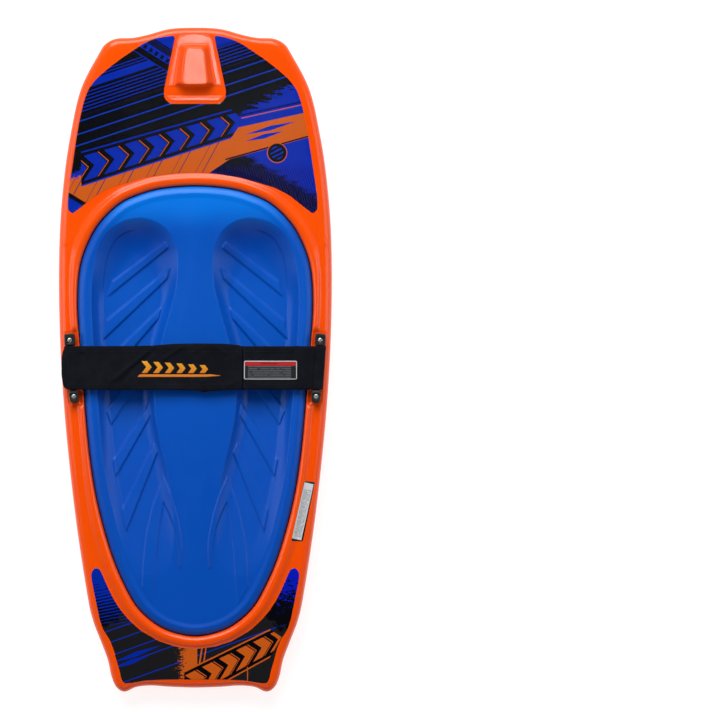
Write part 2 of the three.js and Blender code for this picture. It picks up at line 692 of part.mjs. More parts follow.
put("thigh_pad", layer([-THIGH_PAD.end, THIGH_PAD.end], THIGH_PAD.z), neoprene);
put("strap_web", layer([-WEB.end, WEB.end], WEB.z), blackWeb);
put("loop_tape", layer(TAPE_SPAN, LOOP_TAPE_Z, TAPE_WIDTH), hookTape);
put("strap_cover", layer([COVER.left, WEB.end], COVER.z), blackWeb);
put("caution_label", boxBetween(CAUTION.x, CAUTION.y, PRINT_Z), redPrint);
put("strap_flap", strapFlap(), blackWeb);
put("hook_tape", layer(TAPE_SPAN, HOOK_TAPE_Z, TAPE_WIDTH), hookTape);
put("strap_badge", boxBetween(BADGE.x, BADGE.y, PRINT_Z), goldPrint);

export default board;
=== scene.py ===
import math

import bmesh
import bpy
import numpy as np
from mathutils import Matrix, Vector
from mathutils.bvhtree import BVHTree
from mathutils.geometry import delaunay_2d_cdt


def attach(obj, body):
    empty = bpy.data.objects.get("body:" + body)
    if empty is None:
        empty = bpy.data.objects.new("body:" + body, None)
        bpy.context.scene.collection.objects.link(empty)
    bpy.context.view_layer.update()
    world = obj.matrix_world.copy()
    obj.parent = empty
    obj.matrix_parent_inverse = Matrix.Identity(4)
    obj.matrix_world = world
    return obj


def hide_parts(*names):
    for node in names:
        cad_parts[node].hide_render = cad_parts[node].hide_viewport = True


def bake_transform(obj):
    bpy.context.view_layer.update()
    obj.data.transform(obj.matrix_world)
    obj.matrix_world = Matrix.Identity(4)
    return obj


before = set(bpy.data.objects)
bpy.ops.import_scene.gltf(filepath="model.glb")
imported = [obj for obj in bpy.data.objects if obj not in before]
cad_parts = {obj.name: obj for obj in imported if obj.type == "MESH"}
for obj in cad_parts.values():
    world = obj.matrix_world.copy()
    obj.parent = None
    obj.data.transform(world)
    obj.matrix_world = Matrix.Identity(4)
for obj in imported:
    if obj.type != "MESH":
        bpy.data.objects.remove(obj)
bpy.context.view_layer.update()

# A kneeboard: glossy moulded hull, knee pad, decals, brackets and a padded strap, built round the packed
# model. The frame is in metres; the sizes in this file are in millimetres and become metres in new_piece.
# +Y points to the nose, +X to the rider's right, +Z up.

MM = 0.001
WELD_DISTANCE = 0.01
SIDES = {"left": -1, "right": 1}

# ---- Driving dimensions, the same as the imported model's ----
HALF_LENGTH = 660.5
OUTLINE = [  # right half of the hull's outline, from the nose to the tail
    (0, 660.5), (50, 658), (94, 646.5), (124, 640.5), (156, 639), (177, 629), (190, 611), (228, 537),
    (250, 440), (262, 358), (270, 260), (272, 140), (268, 0), (257, -150), (238, -320), (216, -465),
    (205, -516), (190, -556), (175, -596), (168, -628), (158, -651), (141, -660.5), (118, -651),
    (88, -648), (50, -650.5), (0, -652),
]
PAD_OUTLINE = [
    (0, 347), (60, 343), (103, 333), (150, 312), (192, 271), (218, 223), (231, 175), (234.5, 112),
    (231, 48), (222, -63), (210, -190), (194, -286), (168, -381), (142, -445), (115, -492), (80, -524),
    (45, -541), (0, -549),
]
PAD_CENTRE_Y = -60  # both outlines are matched along rays from this point
HULL_SPINE = (-450, 450)
PAD_SPINE = (-430, 230)
NOSE_START, TAIL_START = 150, -250  # the bottom is flat between the two
NOSE_ROCKER, TAIL_ROCKER = 70, 28
EDGE_HEIGHT, NOSE_EDGE_RISE, TAIL_EDGE_DROP = 48, 36, 5
DECK_HEIGHT, NOSE_DECK_RISE, TAIL_DECK_DROP = 66, 33, 8
FLOOR_HEIGHT = 34  # of the pad's recess
RAIL_ROLL = 16
BEVEL_INSET, BEVEL_DROP = 9, 9
CHINE = 0.3  # share of the way to the centre line where the flat bottom starts
BEAD_HEIGHT = 6
BEAD_WIDTH = (13, 23)
PAD_CLEARANCE = 1.2
PAD_CROWN = 4

# ---- Small numeric helpers ----


def smoothstep(t):
    t = np.clip(t, 0, 1)
    return t * t * (3 - 2 * t)


def lerp(a, b, share):
    return a + (b - a) * share


def share_of(value, start, end):
    """How far a value is from start to end, held between 0 and 1."""
    return np.clip((value - start) / (end - start), 0, 1)


def bump_at(x, y, place, radius):
    """A round bump 1 high at a place, in plan."""
    return np.exp(-((x - place[0]) ** 2 + (y - place[1]) ** 2) / radius**2)


def smooth_curve(knots, step, closed=True):
    """Catmull-Rom curve through 2-D knots, with points at an even spacing near step."""
    knots = np.array(knots, float)
    count = len(knots)
    spans = count if closed else count - 1
    dense = []
    for k in range(spans):
        picks = [(k + j - 1) % count if closed else min(max(k + j - 1, 0), count - 1) for j in range(4)]
        a, b, c, d = knots[picks]
        for t in np.linspace(0, 1, 12, endpoint=False):
            dense.append(0.5 * (2 * b + (c - a) * t + (2 * a - 5 * b + 4 * c - d) * t**2
                                + (3 * b - a - 3 * c + d) * t**3))
    dense.append(knots[0] if closed else knots[-1])
    return resample(np.array(dense), step, closed)


def resample(points, step, closed):
    """The same polyline with evenly spaced points; a closed one doesn't repeat its first point."""
    lengths = np.linalg.norm(np.diff(points, axis=0), axis=1)
    along = np.concatenate([[0], np.cumsum(lengths)])
    count = max(2, 2 * round(along[-1] / step / 2))
    wanted = np.linspace(0, along[-1], count, endpoint=False) if closed else np.linspace(0, along[-1], count)
    return np.column_stack([np.interp(wanted, along, points[:, k]) for k in range(2)])


def mirrored(half):
    """A closed clockwise outline from its right half, whose ends are on the centre line."""
    return list(half) + [(-x, y) for x, y in reversed(half[1:-1])]


def outward(loop):
    """Outward direction in plan at each point of a clockwise loop."""
    ahead, behind = np.roll(loop, -1, axis=0), np.roll(loop, 1, axis=0)
    normal = np.column_stack([behind[:, 1] - ahead[:, 1], ahead[:, 0] - behind[:, 0]])
    return normal / np.linalg.norm(normal, axis=1)[:, None]


def shrunk(loop, distance, step=0.5):
    """The loop moved inwards in small steps; each step evens out its corners, so it never crosses itself."""
    loop = loop.copy()
    for _ in range(max(1, round(distance / step))):
        loop -= outward(loop) * distance / max(1, round(distance / step))
        loop += 0.2 * (np.roll(loop, 1, axis=0) + np.roll(loop, -1, axis=0) - 2 * loop)
    return loop


def distance_inside(x, y, outline):
    """Signed distance from points to a closed outline, positive inside."""
    outline = np.array(outline, float)
    nearest = np.full(x.shape, np.inf)
    inside = np.zeros(x.shape, bool)
    for (ax, ay), (bx, by) in zip(outline, np.roll(outline, -1, axis=0)):
        dx, dy = bx - ax, by - ay
        share = np.clip(((x - ax) * dx + (y - ay) * dy) / max(dx * dx + dy * dy, 1e-9), 0, 1)
        nearest = np.minimum(nearest, (x - ax - share * dx) ** 2 + (y - ay - share * dy) ** 2)
        if dy:
            crosses = ((ay > y) != (by > y)) & (x < ax + dx * (y - ay) / dy)
            inside ^= crosses
    return np.where(inside, 1, -1) * np.sqrt(nearest)


# ---- The hull's heights ----


def nose_share(y):
    return (np.maximum(0, y - NOSE_START) / (HALF_LENGTH - NOSE_START)) ** 2


def tail_share(y):
    return (np.maximum(0, TAIL_START - y) / (HALF_LENGTH + TAIL_START)) ** 2


def rocker(y):
    return NOSE_ROCKER * nose_share(y) + TAIL_ROCKER * tail_share(y)


def edge_height(y):
    return EDGE_HEIGHT + NOSE_EDGE_RISE * nose_share(y) - TAIL_EDGE_DROP * tail_share(y)


def deck_height(y):
    return DECK_HEIGHT + NOSE_DECK_RISE * nose_share(y) - TAIL_DECK_DROP * tail_share(y)


def pad_height(y):
    return deck_height(y) + PAD_CROWN


# ---- Meshes ----


def new_piece(name, vertices, faces, material, body="board", replaces=(), slot=None):
    """A smooth mesh piece from millimetres, on a body of the frame."""
    mesh = bpy.data.meshes.new(name)
    mesh.from_pydata((np.asarray(vertices, float) * MM).tolist(), [], [list(map(int, f)) for f in faces])
    mesh.materials.append(material)
    mesh.validate()
    piece = bpy.data.objects.new(name, mesh)
    bpy.context.scene.collection.objects.link(piece)
    face_outwards(piece)
    shade_smooth(piece)
    if body:
        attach(piece, body)
    if replaces:
        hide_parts(*replaces)
    return piece


def shade_smooth(piece):
    piece.data.polygons.foreach_set("use_smooth", [True] * len(piece.data.polygons))


def edit(piece, change):
    """Runs change(bm) on a piece's mesh."""
    bm = bmesh.new()
    bm.from_mesh(piece.data)
    change(bm)
    bm.to_mesh(piece.data)
    bm.free()
    piece.data.update()


def face_outwards(piece):
    edit(piece, lambda bm: bmesh.ops.recalc_face_normals(bm, faces=bm.faces))


def weld(piece):
    """Joins points at one place and drops faces without area."""
    def change(bm):
        bmesh.ops.remove_doubles(bm, verts=bm.verts, dist=WELD_DISTANCE * MM)
        bmesh.ops.dissolve_degenerate(bm, edges=bm.edges, dist=1e-7)
        bmesh.ops.recalc_face_normals(bm, faces=bm.faces)
    edit(piece, change)


def apply_modifiers(piece):
    evaluated = piece.evaluated_get(bpy.context.evaluated_depsgraph_get())
    mesh = bpy.data.meshes.new_from_object(evaluated)
    piece.modifiers.clear()
    piece.data = mesh
    shade_smooth(piece)


def ring_faces(rings, count):
    """Faces between rings of count points, from the bottom up."""
    faces = []
    for r in range(rings - 1):
        low, high = r * count, (r + 1) * count
        for i in range(count):
            j = (i + 1) % count
            faces.append((low + i, high + i, high + j, low + j))
    return faces


def ring_body(name, rings, material, **kwargs):
    """A closed piece through rings; the first and last lie on a line, so welding closes it."""
    piece = new_piece(name, np.concatenate(rings), ring_faces(len(rings), len(rings[0])), material, **kwargs)
    weld(piece)
    return piece


def upright(loop, y):
    """A ring at one y from a loop in X and Z."""
    return np.insert(loop, 1, y, axis=1)


def at_height(loop, height):
    """A plan loop as a ring whose height depends on the place, or is one number."""
    z = height(loop[:, 1]) if callable(height) else np.full(len(loop), float(height))
    return np.column_stack([loop, z])


def between(a, b, count):
    """count rings on the way from a to b, with b as the last."""
    return [lerp(a, b, (k + 1) / count) for k in range(count)]


def rounded_corners(points, radius, steps=5):
    """A closed outline whose corners are cut back by a radius and rounded."""
    points = np.array(points, float)
    made = []
    for before, corner, after in zip(np.roll(points, 1, axis=0), points, np.roll(points, -1, axis=0)):
        cut = min(radius, 0.45 * np.linalg.norm(before - corner), 0.45 * np.linalg.norm(after - corner))
        start = corner + (before - corner) / np.linalg.norm(before - corner) * cut
        end = corner + (after - corner) / np.linalg.norm(after - corner) * cut
        for t in np.linspace(0, 1, steps):
            made.append((1 - t) ** 2 * start + 2 * t * (1 - t) * corner + t**2 * end)
    return np.array(made)


def clockwise(loop):
    x, y = loop.T
    return loop if np.sum(x * np.roll(y, -1) - y * np.roll(x, -1)) < 0 else loop[::-1]


def rectangle(xs, ys):
    return [(xs[0], ys[0]), (xs[0], ys[1]), (xs[1], ys[1]), (xs[1], ys[0])]


def plate(outline, step, low, high, edge):
    """Vertices and faces of a thin closed body in a plan outline, with rounded edges.

    low and high give the heights of its two faces from arrays of x and y."""
    outline = clockwise(resample(np.vstack([outline, outline[:1]]), step, closed=True))
    loops = [outline, *(shrunk(outline, edge * share, edge * 0.2) for share in (0.3, 1))]
    (x0, y0), (x1, y1) = outline.min(axis=0), outline.max(axis=0)
    grid = np.stack(np.meshgrid(np.arange(x0, x1, step), np.arange(y0, y1, step)), axis=-1).reshape(-1, 2)
    grid = grid[distance_inside(*grid.T, outline) > edge + 0.6 * step]
    flat = [Vector(p) for p in np.vstack([*loops, grid])]
    count = len(outline)
    ring = [(i, (i + 1) % count) for i in range(count)]
    points, _, triangles, *_ = delaunay_2d_cdt(flat, ring, [], 1, 1e-5)
    x, y = np.array([tuple(p) for p in points]).T
    near = share_of(distance_inside(x, y, outline), 0, edge)
    plump = 0.3 + 0.7 * np.sqrt(1 - (1 - near) ** 2)
    bottom, top = low(x, y), high(x, y)
    middle, half = (bottom + top) / 2, (top - bottom) / 2 * plump
    vertices = np.concatenate([np.column_stack([x, y, z]) for z in (middle + half, middle - half)])
    total = len(x)
    used = {side for face in triangles for side in zip(face, face[1:] + face[:1])}
    walls = [(j, i, i + total, j + total) for i, j in sorted(used) if (j, i) not in used]
    below = [tuple(i + total for i in reversed(face)) for face in triangles]
    return vertices, [*map(tuple, triangles), *below, *walls]


def joined(solids):
    """Vertices and faces of several solids as one."""
    vertices, faces, count = [], [], 0
    for more, shape in solids:
        vertices.append(more)
        faces += [tuple(i + count for i in face) for face in shape]
        count += len(more)
    return np.concatenate(vertices), faces


def plates(name, outlines, step, low, high, material, edge, **kwargs):
    """One piece made of a plate in each outline."""
    vertices, faces = joined(plate(outline, step, low, high, edge) for outline in outlines)
    return new_piece(name, vertices, faces, material, **kwargs)


def solid_rings(rings):
    """Vertices and faces of a closed body through rings, with one face across each end."""
    count = len(rings[0])
    last = (len(rings) - 1) * count
    faces = ring_faces(len(rings), count)
    faces += [tuple(range(count)), tuple(reversed(range(last, last + count)))]
    return np.concatenate(rings), faces


def moulded(name, solids, cuts, voxel, passes, material, place=None, **kwargs):
    """A moulded piece: solids joined, cuts taken out, and every edge rounded by remeshing."""
    piece = new_piece(name, *joined(solids), material, **kwargs)
    remesh(piece, voxel)
    for cut in cuts:
        tool = new_piece(name + "_cut", *cut, material, body=None)
        boolean = piece.modifiers.new("cut", "BOOLEAN")
        boolean.object = tool
        boolean.operation = "DIFFERENCE"
        apply_modifiers(piece)
        bpy.data.objects.remove(tool)
    remesh(piece, voxel)
    smooth = piece.modifiers.new("smooth", "SMOOTH")
    smooth.iterations = passes
    apply_modifiers(piece)
    if place:
        move_points(piece, place(mesh_points(piece)))
    return piece


def remesh(piece, voxel):
    modifier = piece.modifiers.new("remesh", "REMESH")
    modifier.mode = "VOXEL"
    modifier.voxel_size = voxel * MM
    apply_modifiers(piece)


def mesh_points(piece):
    """A piece's vertices as an array, in millimetres."""
    flat = np.empty(3 * len(piece.data.vertices))
    piece.data.vertices.foreach_get("co", flat)
    return flat.reshape(-1, 3) / MM


def move_points(piece, points):
    """Puts a piece's vertices at places in millimetres."""
    piece.data.vertices.foreach_set("co", np.ravel(points * MM))
    piece.data.update()


def circle(radius, centre=(0, 0), count=32):
    turn = np.linspace(0, 2 * math.pi, count, endpoint=False)
    return np.column_stack([centre[0] + radius * np.sin(turn), centre[1] + radius * np.cos(turn)])


def turned(profile, count=48):
    """Rings of a body of revolution about Z from (radius, height) pairs."""
    return [at_height(circle(max(radius, 1e-3), count=count), height) for radius, height in profile]


# ---- Materials: a small language for node maths ----


def node_field(tree, kind, output, inputs, **settings):
    """A new node's output. An input that is given a Field is linked to it, and any other is set."""
    node = tree.nodes.new(kind)
    for name, value in settings.items():
        setattr(node, name, value)
    for key, value in inputs.items():
        if isinstance(value, Field):
            tree.links.new(value.socket, node.inputs[key])
        else:
            node.inputs[key].default_value = value
    return Field(tree, node.outputs[output])


class Field:
    """A number that varies over a surface. Arithmetic on it adds math nodes to its material."""

    def __init__(self, tree, socket):
        self.tree, self.socket = tree, socket

    def math(self, operation, *others):
        inputs = dict(enumerate((self, *others)))
        return node_field(self.tree, "ShaderNodeMath", 0, inputs, operation=operation)

    def __add__(self, other):
        return self.math("ADD", other)

    __radd__ = __add__

    def __mul__(self, other):
        return self.math("MULTIPLY", other)

    __rmul__ = __mul__

    def __sub__(self, other):
        return self.math("SUBTRACT", other)

    def __rsub__(self, other):
        return self * -1 + other

    def __truediv__(self, other):
        return self.math("DIVIDE", other)

    def __abs__(self):
        return self.math("ABSOLUTE")

    def sine(self):
        return self.math("SINE")

    def power(self, exponent):
        return self.math("POWER", exponent)

    def wrapped(self, period):
        """Distance from the nearest whole multiple of a period."""
        return abs(self.math("PINGPONG", period / 2))

    def repeat(self, period):
        """What is left over after whole periods, from 0 up to the period."""
        return self.math("FLOORED_MODULO", period)

    def above(self, limit, soft):
        """0 below limit - soft, 1 above limit + soft."""
        inputs = {"Value": self - limit, "From Min": -soft, "From Max": soft}
        return node_field(self.tree, "ShaderNodeMapRange", "Result", inputs, interpolation_type="SMOOTHSTEP")

    def below(self, limit, soft):
        return 1 - self.above(limit, soft)

    def near(self, middle, half, soft):
        """1 within half of a middle value, 0 beyond."""
        return abs(self - middle).below(half, soft)


class Material:
    """A principled material with its object coordinates in millimetres."""

    def __init__(self, name, color, roughness, **settings):
        self.data = bpy.data.materials.new(name)
        self.data.use_nodes = True
        self.tree = self.data.node_tree
        self.shader = self.tree.nodes["Principled BSDF"]
        self.shader.inputs["Base Color"].default_value = srgb(color)
        self.shader.inputs["Roughness"].default_value = roughness
        for socket, value in settings.items():
            self.shader.inputs[socket.replace("_", " ")].default_value = value
        self.base = srgb(color)
        self.place = node_field(self.tree, "ShaderNodeTexCoord", "Object", {})
        split = [node_field(self.tree, "ShaderNodeSeparateXYZ", axis, {0: self.place}) for axis in "XYZ"]
        self.x, self.y, self.z = (metres * (1 / MM) for metres in split)

    def noise(self, size, detail=2.0, stretch=(1, 1, 1), roughness=0.5):
        """Noise from 0 to 1 with features of a size in millimetres, stretched along the axes."""
        inputs = {0: self.place, 1: [1 / s for s in stretch]}
        scaled = node_field(self.tree, "ShaderNodeVectorMath", 0, inputs, operation="MULTIPLY")
        inputs = {"Vector": scaled, "Scale": 1 / (size * MM), "Detail": detail, "Roughness": roughness}
        return node_field(self.tree, "ShaderNodeTexNoise", "Fac", inputs)

    def connect(self, field, name):
        self.tree.links.new(field.socket, self.shader.inputs[name])

    def paint(self, mask, color):
        """Lays a colour over the base colour where the mask is 1."""
        inputs = {0: mask, 6: self.base, 7: srgb(color)}  # the factor, A and B of a colour mix
        self.base = node_field(self.tree, "ShaderNodeMix", 2, inputs, data_type="RGBA")
        self.connect(self.base, "Base Color")

    def rough(self, field):
        self.connect(field, "Roughness")

    def bump(self, field, height, strength=1.0):
        """Relief from a field whose whole range of 1 is height millimetres tall."""
        inputs = {"Strength": strength, "Distance": height * MM, "Height": field}
        self.connect(node_field(self.tree, "ShaderNodeBump", 0, inputs), "Normal")


def srgb(color):
    """Linear RGBA from 0-255 sRGB numbers."""
    linear = [c / 255 / 12.92 if c / 255 <= 0.04045 else ((c / 255 + 0.055) / 1.055) ** 2.4 for c in color]
    return (*linear, 1)


def hull_plastic():
    """Rotomoulded polyethylene: glossy, with slow colour drift, faint orange peel and fine scuffs."""
    made = Material("hull_plastic", (255, 84, 2), 0.24, Specular_IOR_Level=0.4, Coat_Weight=0.1,
                    Coat_Roughness=0.15)
    made.paint(made.noise(140, 3).above(0.52, 0.22) * 0.3, (246, 70, 2))
    made.paint(made.noise(9, 4).above(0.66, 0.1) * 0.15, (255, 108, 26))
    made.rough(made.noise(60, 4) * 0.14 + 0.17)
    made.bump(made.noise(16, 2) + made.noise(2.2, 2) * 0.1, 0.1, 0.5)
    return made.data


def pad_foam():
    """Moulded EVA: satin skin, fine closed-cell grain, painted shade at the rear and deep in the wells,
    painted light at the front.
    """
    made = Material("pad_foam", (0, 85, 192), 0.33, Specular_IOR_Level=0.25)
    # painted shade: the foam darkens towards the tail, behind the strap
    made.paint((made.y * -1).above(100, 160), (0, 78, 184))
    # painted light: the front is lighter, where it faces the light
    made.paint(made.y.above(284, 36), (0, 122, 234))
    # painted shade: darker deep in the front of the knee wells, where the walls face away from the light
    made.paint(made.y.above(205, 70) * made.z.below(66, 10) * 0.75, (0, 46, 142))
    made.paint(made.noise(90, 3).above(0.55, 0.25) * 0.16, (0, 76, 180))
    made.rough(made.noise(40, 4) * 0.12 + 0.29)
    made.bump(made.noise(0.9, 3) * 0.5 + made.noise(30, 2) * 0.9, 0.14, 0.5)
    return made.data


def film(name, color):
    return Material(name, color, 0.24, Specular_IOR_Level=0.45, Coat_Weight=0.12, Coat_Roughness=0.2)


ORANGE_INK = (205, 92, 24)
BLUE_INK = (0, 40, 168)
BLACK_INK = (4, 5, 11)
NAVY_INK = (12, 16, 60)
GREY_INK = (27, 27, 30)
LINE_SLOPE = 0.33  # how fast the decals' stripes rise to the right


def nose_art():
    """Blue stripes on black, a row of chevrons, and a burnt-orange band with torn edges."""
    made = film("nose_decal_film", BLACK_INK)
    x, y = made.x, made.y
    height = y - x * LINE_SLOPE  # constant along a stripe
    torn = (made.noise(7, 5, (1, 1, 1), 0.7) - 0.5) * 46
    for line in (636, 630, 603, 596, 589, 582, 575, 568):
        made.paint(height.near(line, 1.1, 0.5), BLUE_INK)
    for line in (550, 525, 503):
        made.paint(height.near(line, 1.4, 0.5), (8, 52, 170))
    made.paint(height.near(618, 7.5, 0.6) * x.below(0, 1), BLUE_INK)
    made.paint(height.near(560, 0.6, 0.4), NAVY_INK)

    # slanted bands beside the tow hook, on the left
    cross = y + x * 0.63
    left = x.below(0, 1)
    made.paint(cross.above(537, 0.8) * left, BLUE_INK)
    made.paint(cross.near(546, 7, 0.8) * left, BLACK_INK)
    dashes = (x * 0.85 - y * 0.53).repeat(13).below(6, 0.5)
    made.paint(cross.near(560, 5, 0.8) * left * dashes, BLACK_INK)
    made.paint(cross.near(577, 7, 0.8) * left, NAVY_INK)
    made.paint(cross.near(586, 1.4, 0.6) * left, BLACK_INK)
    made.paint((y * 0.9 + x).above(600, 8) * (1 - left) * height.above(606, 8), BLUE_INK)

    # burnt-orange band with slashes below the chevrons, torn at its upper edge
    lower = y - x * 0.279
    made.paint((height + torn).below(452, 2), BLUE_INK)
    made.paint((height + torn).below(440, 2), ORANGE_INK)
    slash = (y - x * 1.85).repeat(86)
    left_part = x.below(52, 2)
    made.paint(slash.below(4, 1) * (height + torn).below(440, 2) * left_part, (96, 44, 84))
    made.paint((slash - 26).below(2.5, 1) * slash.above(26, 1) * (height + torn).below(440, 2) * left_part,
               (120, 50, 60))

    # blue field at the lower right, with a fine hatch and a spattered corner
    field = lower.below(380, 0.8) * (x + (y - 372) * -1.5).above(28, 0.8)
    made.paint(lower.near(382, 1.5, 0.5) * x.above(60, 1), BLACK_INK)
    made.paint(field, BLUE_INK)
    shade = (made.noise(9, 5, (2.5, 1, 1), 0.75) * 60 + y * -0.9 - x * 0.5).above(-385, 8)
    made.paint(field * shade * (y + x * 0.4).above(380, 18), BLACK_INK)
    hatch = (x + y * 0.32).wrapped(5).below(0.8, 0.4)
    made.paint(field * hatch * y.below(385, 12), (10, 12, 110))
    made.paint(lower.near(378, 1.2, 0.4) * x.above(180, 1), BLUE_INK)

    # blue band along the right, sprayed at its top
    band = y - x * 0.222
    right = x.above(70, 2)
    spray = ((made.noise(6, 5, (3, 1, 1), 0.7) - 0.5) * 90 + band - (x - 150) * 0.35).below(488, 3)
    made.paint(spray * band.above(455, 1) * x.above(60, 2), BLUE_INK)
    made.paint(band.near(452, 9, 0.8) * right, BLUE_INK)
    made.paint(band.near(460, 0.9, 0.4) * right, ORANGE_INK)
    made.paint(band.near(466, 1.6, 0.6) * right, (4, 12, 90))

    row = height + x * 0.028 - 448
    chevrons(made, x, row, (-226, 96), x * -0.02 + 20.5, 40, 25, BLUE_INK)
    corner = y + (x + 245) * 0.6
    made.paint(corner.below(330, 1) * x.below(-200, 1), BLACK_INK)
    made.paint(corner.below(320, 2) * x.below(-200, 1), BLUE_INK)
    bars_and_disc(made, x, y)
    return made.data


CHEVRON_SLOPE = 0.85  # how far a chevron's arms sweep back, for each millimetre away from its tip


def chevrons(made, along, across, reach, half, pitch, width, color):
    """A row of solid chevrons on black that point along the row, in a frame of two thin lines."""
    size = abs(across)
    start, end = reach
    row = along.above(start, 1) * (along + size * CHEVRON_SLOPE).below(end, 1)
    part = (along + size * CHEVRON_SLOPE).repeat(pitch)
    made.paint(row * (size - half).below(9, 1), BLACK_INK)
    made.paint(row * (size - half).near(8, 1.6, 0.5), color)
    made.paint(row * (size - half).below(0, 0.6) * part.below(width, 0.6), color)
    made.paint(row * (size - half).below(0, 0.6) * part.near(width + 3.2, 0.9, 0.4), ORANGE_INK)


def tapered_bars(made, rise, x, bars, half):
    """Plain bars: for each, its offset up, the x of its middle, and how fast it slims towards its ends."""
    for offset, middle, slimming in bars:
        made.paint((abs(rise - offset) + abs(x - middle) * slimming).below(half, 0.5), BLUE_INK)


def bars_and_disc(made, x, y):
    """Two plain tapered bars on the orange band and a barred disc in the blue field."""
    tapered_bars(made, y - x * 0.26 - 415, x, [(7, 150, 0.09), (-6, 138, 0.12)], 4.6)
    across, up = x - 163, y - 412
    radius = (across * across + up * up).power(0.5)
    made.paint(radius.below(20, 0.6), ORANGE_INK)
    made.paint(radius.below(18.5, 0.6), BLACK_INK)
    stripes = (up - across * 0.5).wrapped(9).above(2.6, 0.4)
    made.paint(radius.below(13, 0.6) * stripes, BLUE_INK)


def tail_art():
    """Grey field with thin blue lines, hatched blue ends, and an orange spray with chevrons."""
    made = film("tail_decal_film", GREY_INK)
    x, y = made.x, made.y
    height = y - x * 0.36
    for line in (-589, -552, -527, -500, -476):
        made.paint(height.near(line, 1.1, 0.4), (10, 46, 170))
    far = abs(x)
    made.paint((y + (made.noise(18, 4) - 0.5) * 60 + far * 0.5).above(-440, 3), BLACK_INK)

    # blue ends: stripes that thin out on the left, spatter on the right
    fade = (y + 520) / 90
    stripes = (y - x * 0.2).wrapped(6.4)
    left = x.below(-100, 1)
    made.paint(left * (stripes + fade * -3.0 + (made.noise(4, 4, (3, 1, 1)) - 0.5) * 3).below(0.4, 0.4)
               * y.above(-530, 2), BLUE_INK)
    spatter = made.noise(4.5, 4, (1.7, 0.8, 1), 0.7) + (y + 476) / 260
    made.paint(x.above(90, 1) * spatter.above(0.56, 0.03) * y.above(-560, 4), (4, 26, 190))

    # plain tapered bars on the left
    tapered_bars(made, height + 547, x, [(5, -118, 0.1), (-7, -126, 0.14)], 5)

    # orange spray in the middle, torn into grey on its left
    spray = made.noise(3.4, 5, (2.2, 0.9, 1), 0.75) + (x + 32) / 85
    made.paint(spray.above(0.56, 0.03) * x.below(4, 0.8), ORANGE_INK)
    slant = x + (y + 600) * -0.16
    made.paint(slant.near(9, 1.5, 0.5), ORANGE_INK)
    made.paint(slant.near(17, 1.2, 0.5), ORANGE_INK)

    # row of orange chevrons rising to the right
    rise = y - x * 0.52
    chevrons(made, x, rise + 640, (-22, 172), (x + 22) * -0.03 + 24, 33, 19, ORANGE_INK)
    for line in (168, 104):
        made.paint(x.near(line, 0.9, 0.3) * rise.below(-664, 1), ORANGE_INK)
    return made.data


def rail_label_art():
    """White label with a black border, filled with plain grey dashes."""
    made = film("rail_label_film", (22, 22, 24))
    x, y = made.x, made.y
    across = (x - 214) * 0.976 - (y + 300) * 0.217
    along = (x - 214) * 0.217 + (y + 300) * 0.976
    inner = abs(across).below(9.4, 0.3) * abs(along).below(57, 0.3)
    made.paint(inner, (214, 216, 220))
    breaks = made.noise(1.6, 3, (1, 1, 1), 0.7).above(0.5, 0.05)
    rows = across.wrapped(2.2).above(0.4, 0.15)
    made.paint(inner * breaks * rows * abs(across).below(7.6, 0.3) * abs(along + 4).below(48, 0.5),
               (112, 114, 120))
    return made.data


def bracket_nylon():
    made = Material("bracket_nylon", (17, 18, 20), 0.42, Specular_IOR_Level=0.5)
    made.paint(made.noise(5, 4).above(0.6, 0.15) * 0.5, (34, 35, 38))
    made.rough(made.noise(3, 4) * 0.25 + 0.32)
    made.bump(made.noise(0.7, 2), 0.06, 0.6)
    return made.data


def screw_steel():
    made = Material("screw_steel", (190, 191, 194), 0.28, Metallic=1.0)
    made.rough(made.noise(1.2, 3) * 0.3 + 0.16)
    made.bump(made.noise(0.35, 2, (6, 1, 1)), 0.02, 0.5)
    return made.data


def woven(name, color, light, rib, height):
    """A plain-woven fabric: ribs across and along, a little worn colour, and a soft sheen."""
    made = Material(name, color, 0.82, Specular_IOR_Level=0.12, Sheen_Weight=0.025, Sheen_Roughness=0.35)
    made.paint(made.noise(26, 4).above(0.55, 0.2) * 0.5, light)
    turn = 2 * math.pi / rib
    weave = (made.x * turn).sine() * (made.y * turn * 1.3).sine()
    made.paint(weave.above(0.55, 0.3) * 0.45, light)
    made.bump(weave * 0.5 + made.noise(1.5, 2) * 0.4, height, 0.8)
    return made.data


def caution_art():
    """Woven label: light border, red band along the top, dark field with plain thin lines."""
    made = Material("caution_label_weave", (196, 198, 200), 0.6, Specular_IOR_Level=0.3, Sheen_Weight=0.1)
    x, y = made.x - 150, made.y + 19.5
    inside = abs(x).below(50.9, 0.2) * abs(y).below(16.9, 0.2)
    made.paint(inside, (10, 12, 18))
    made.paint(inside * y.above(8.6, 0.2), (178, 24, 30))
    made.paint(y.near(12.8, 1.2, 0.3) * abs(x + 2).below(17, 0.3) * inside
               * made.noise(1.5, 3).above(0.45, 0.1), (70, 10, 14))
    lines = (y + 1.6).wrapped(4.1).below(0.55, 0.25) * y.below(7.4, 0.2) * y.above(-14.5, 0.2)
    ragged = made.noise(5, 2, (1, 0.2, 1)).above(0.36, 0.04)
    made.paint(inside * lines * ragged * abs(x + 2).below(43, 0.5), (120, 124, 130))
    made.bump((made.x * 8).sine() * (made.y * 8).sine(), 0.05, 0.5)
    return made.data


def gold_print():
    """Screen print: gold that deepens to orange at its lower edge, slightly worn."""
    made = Material("gold_print", (228, 152, 22), 0.5, Specular_IOR_Level=0.4)
    made.paint((made.y * -1).above(19, 9) * 0.8, (214, 112, 14))
    made.paint(made.noise(2.2, 4).above(0.66, 0.06) * 0.5, (90, 56, 12))
    made.bump(made.noise(0.9, 2), 0.05, 0.6)
    return made.data


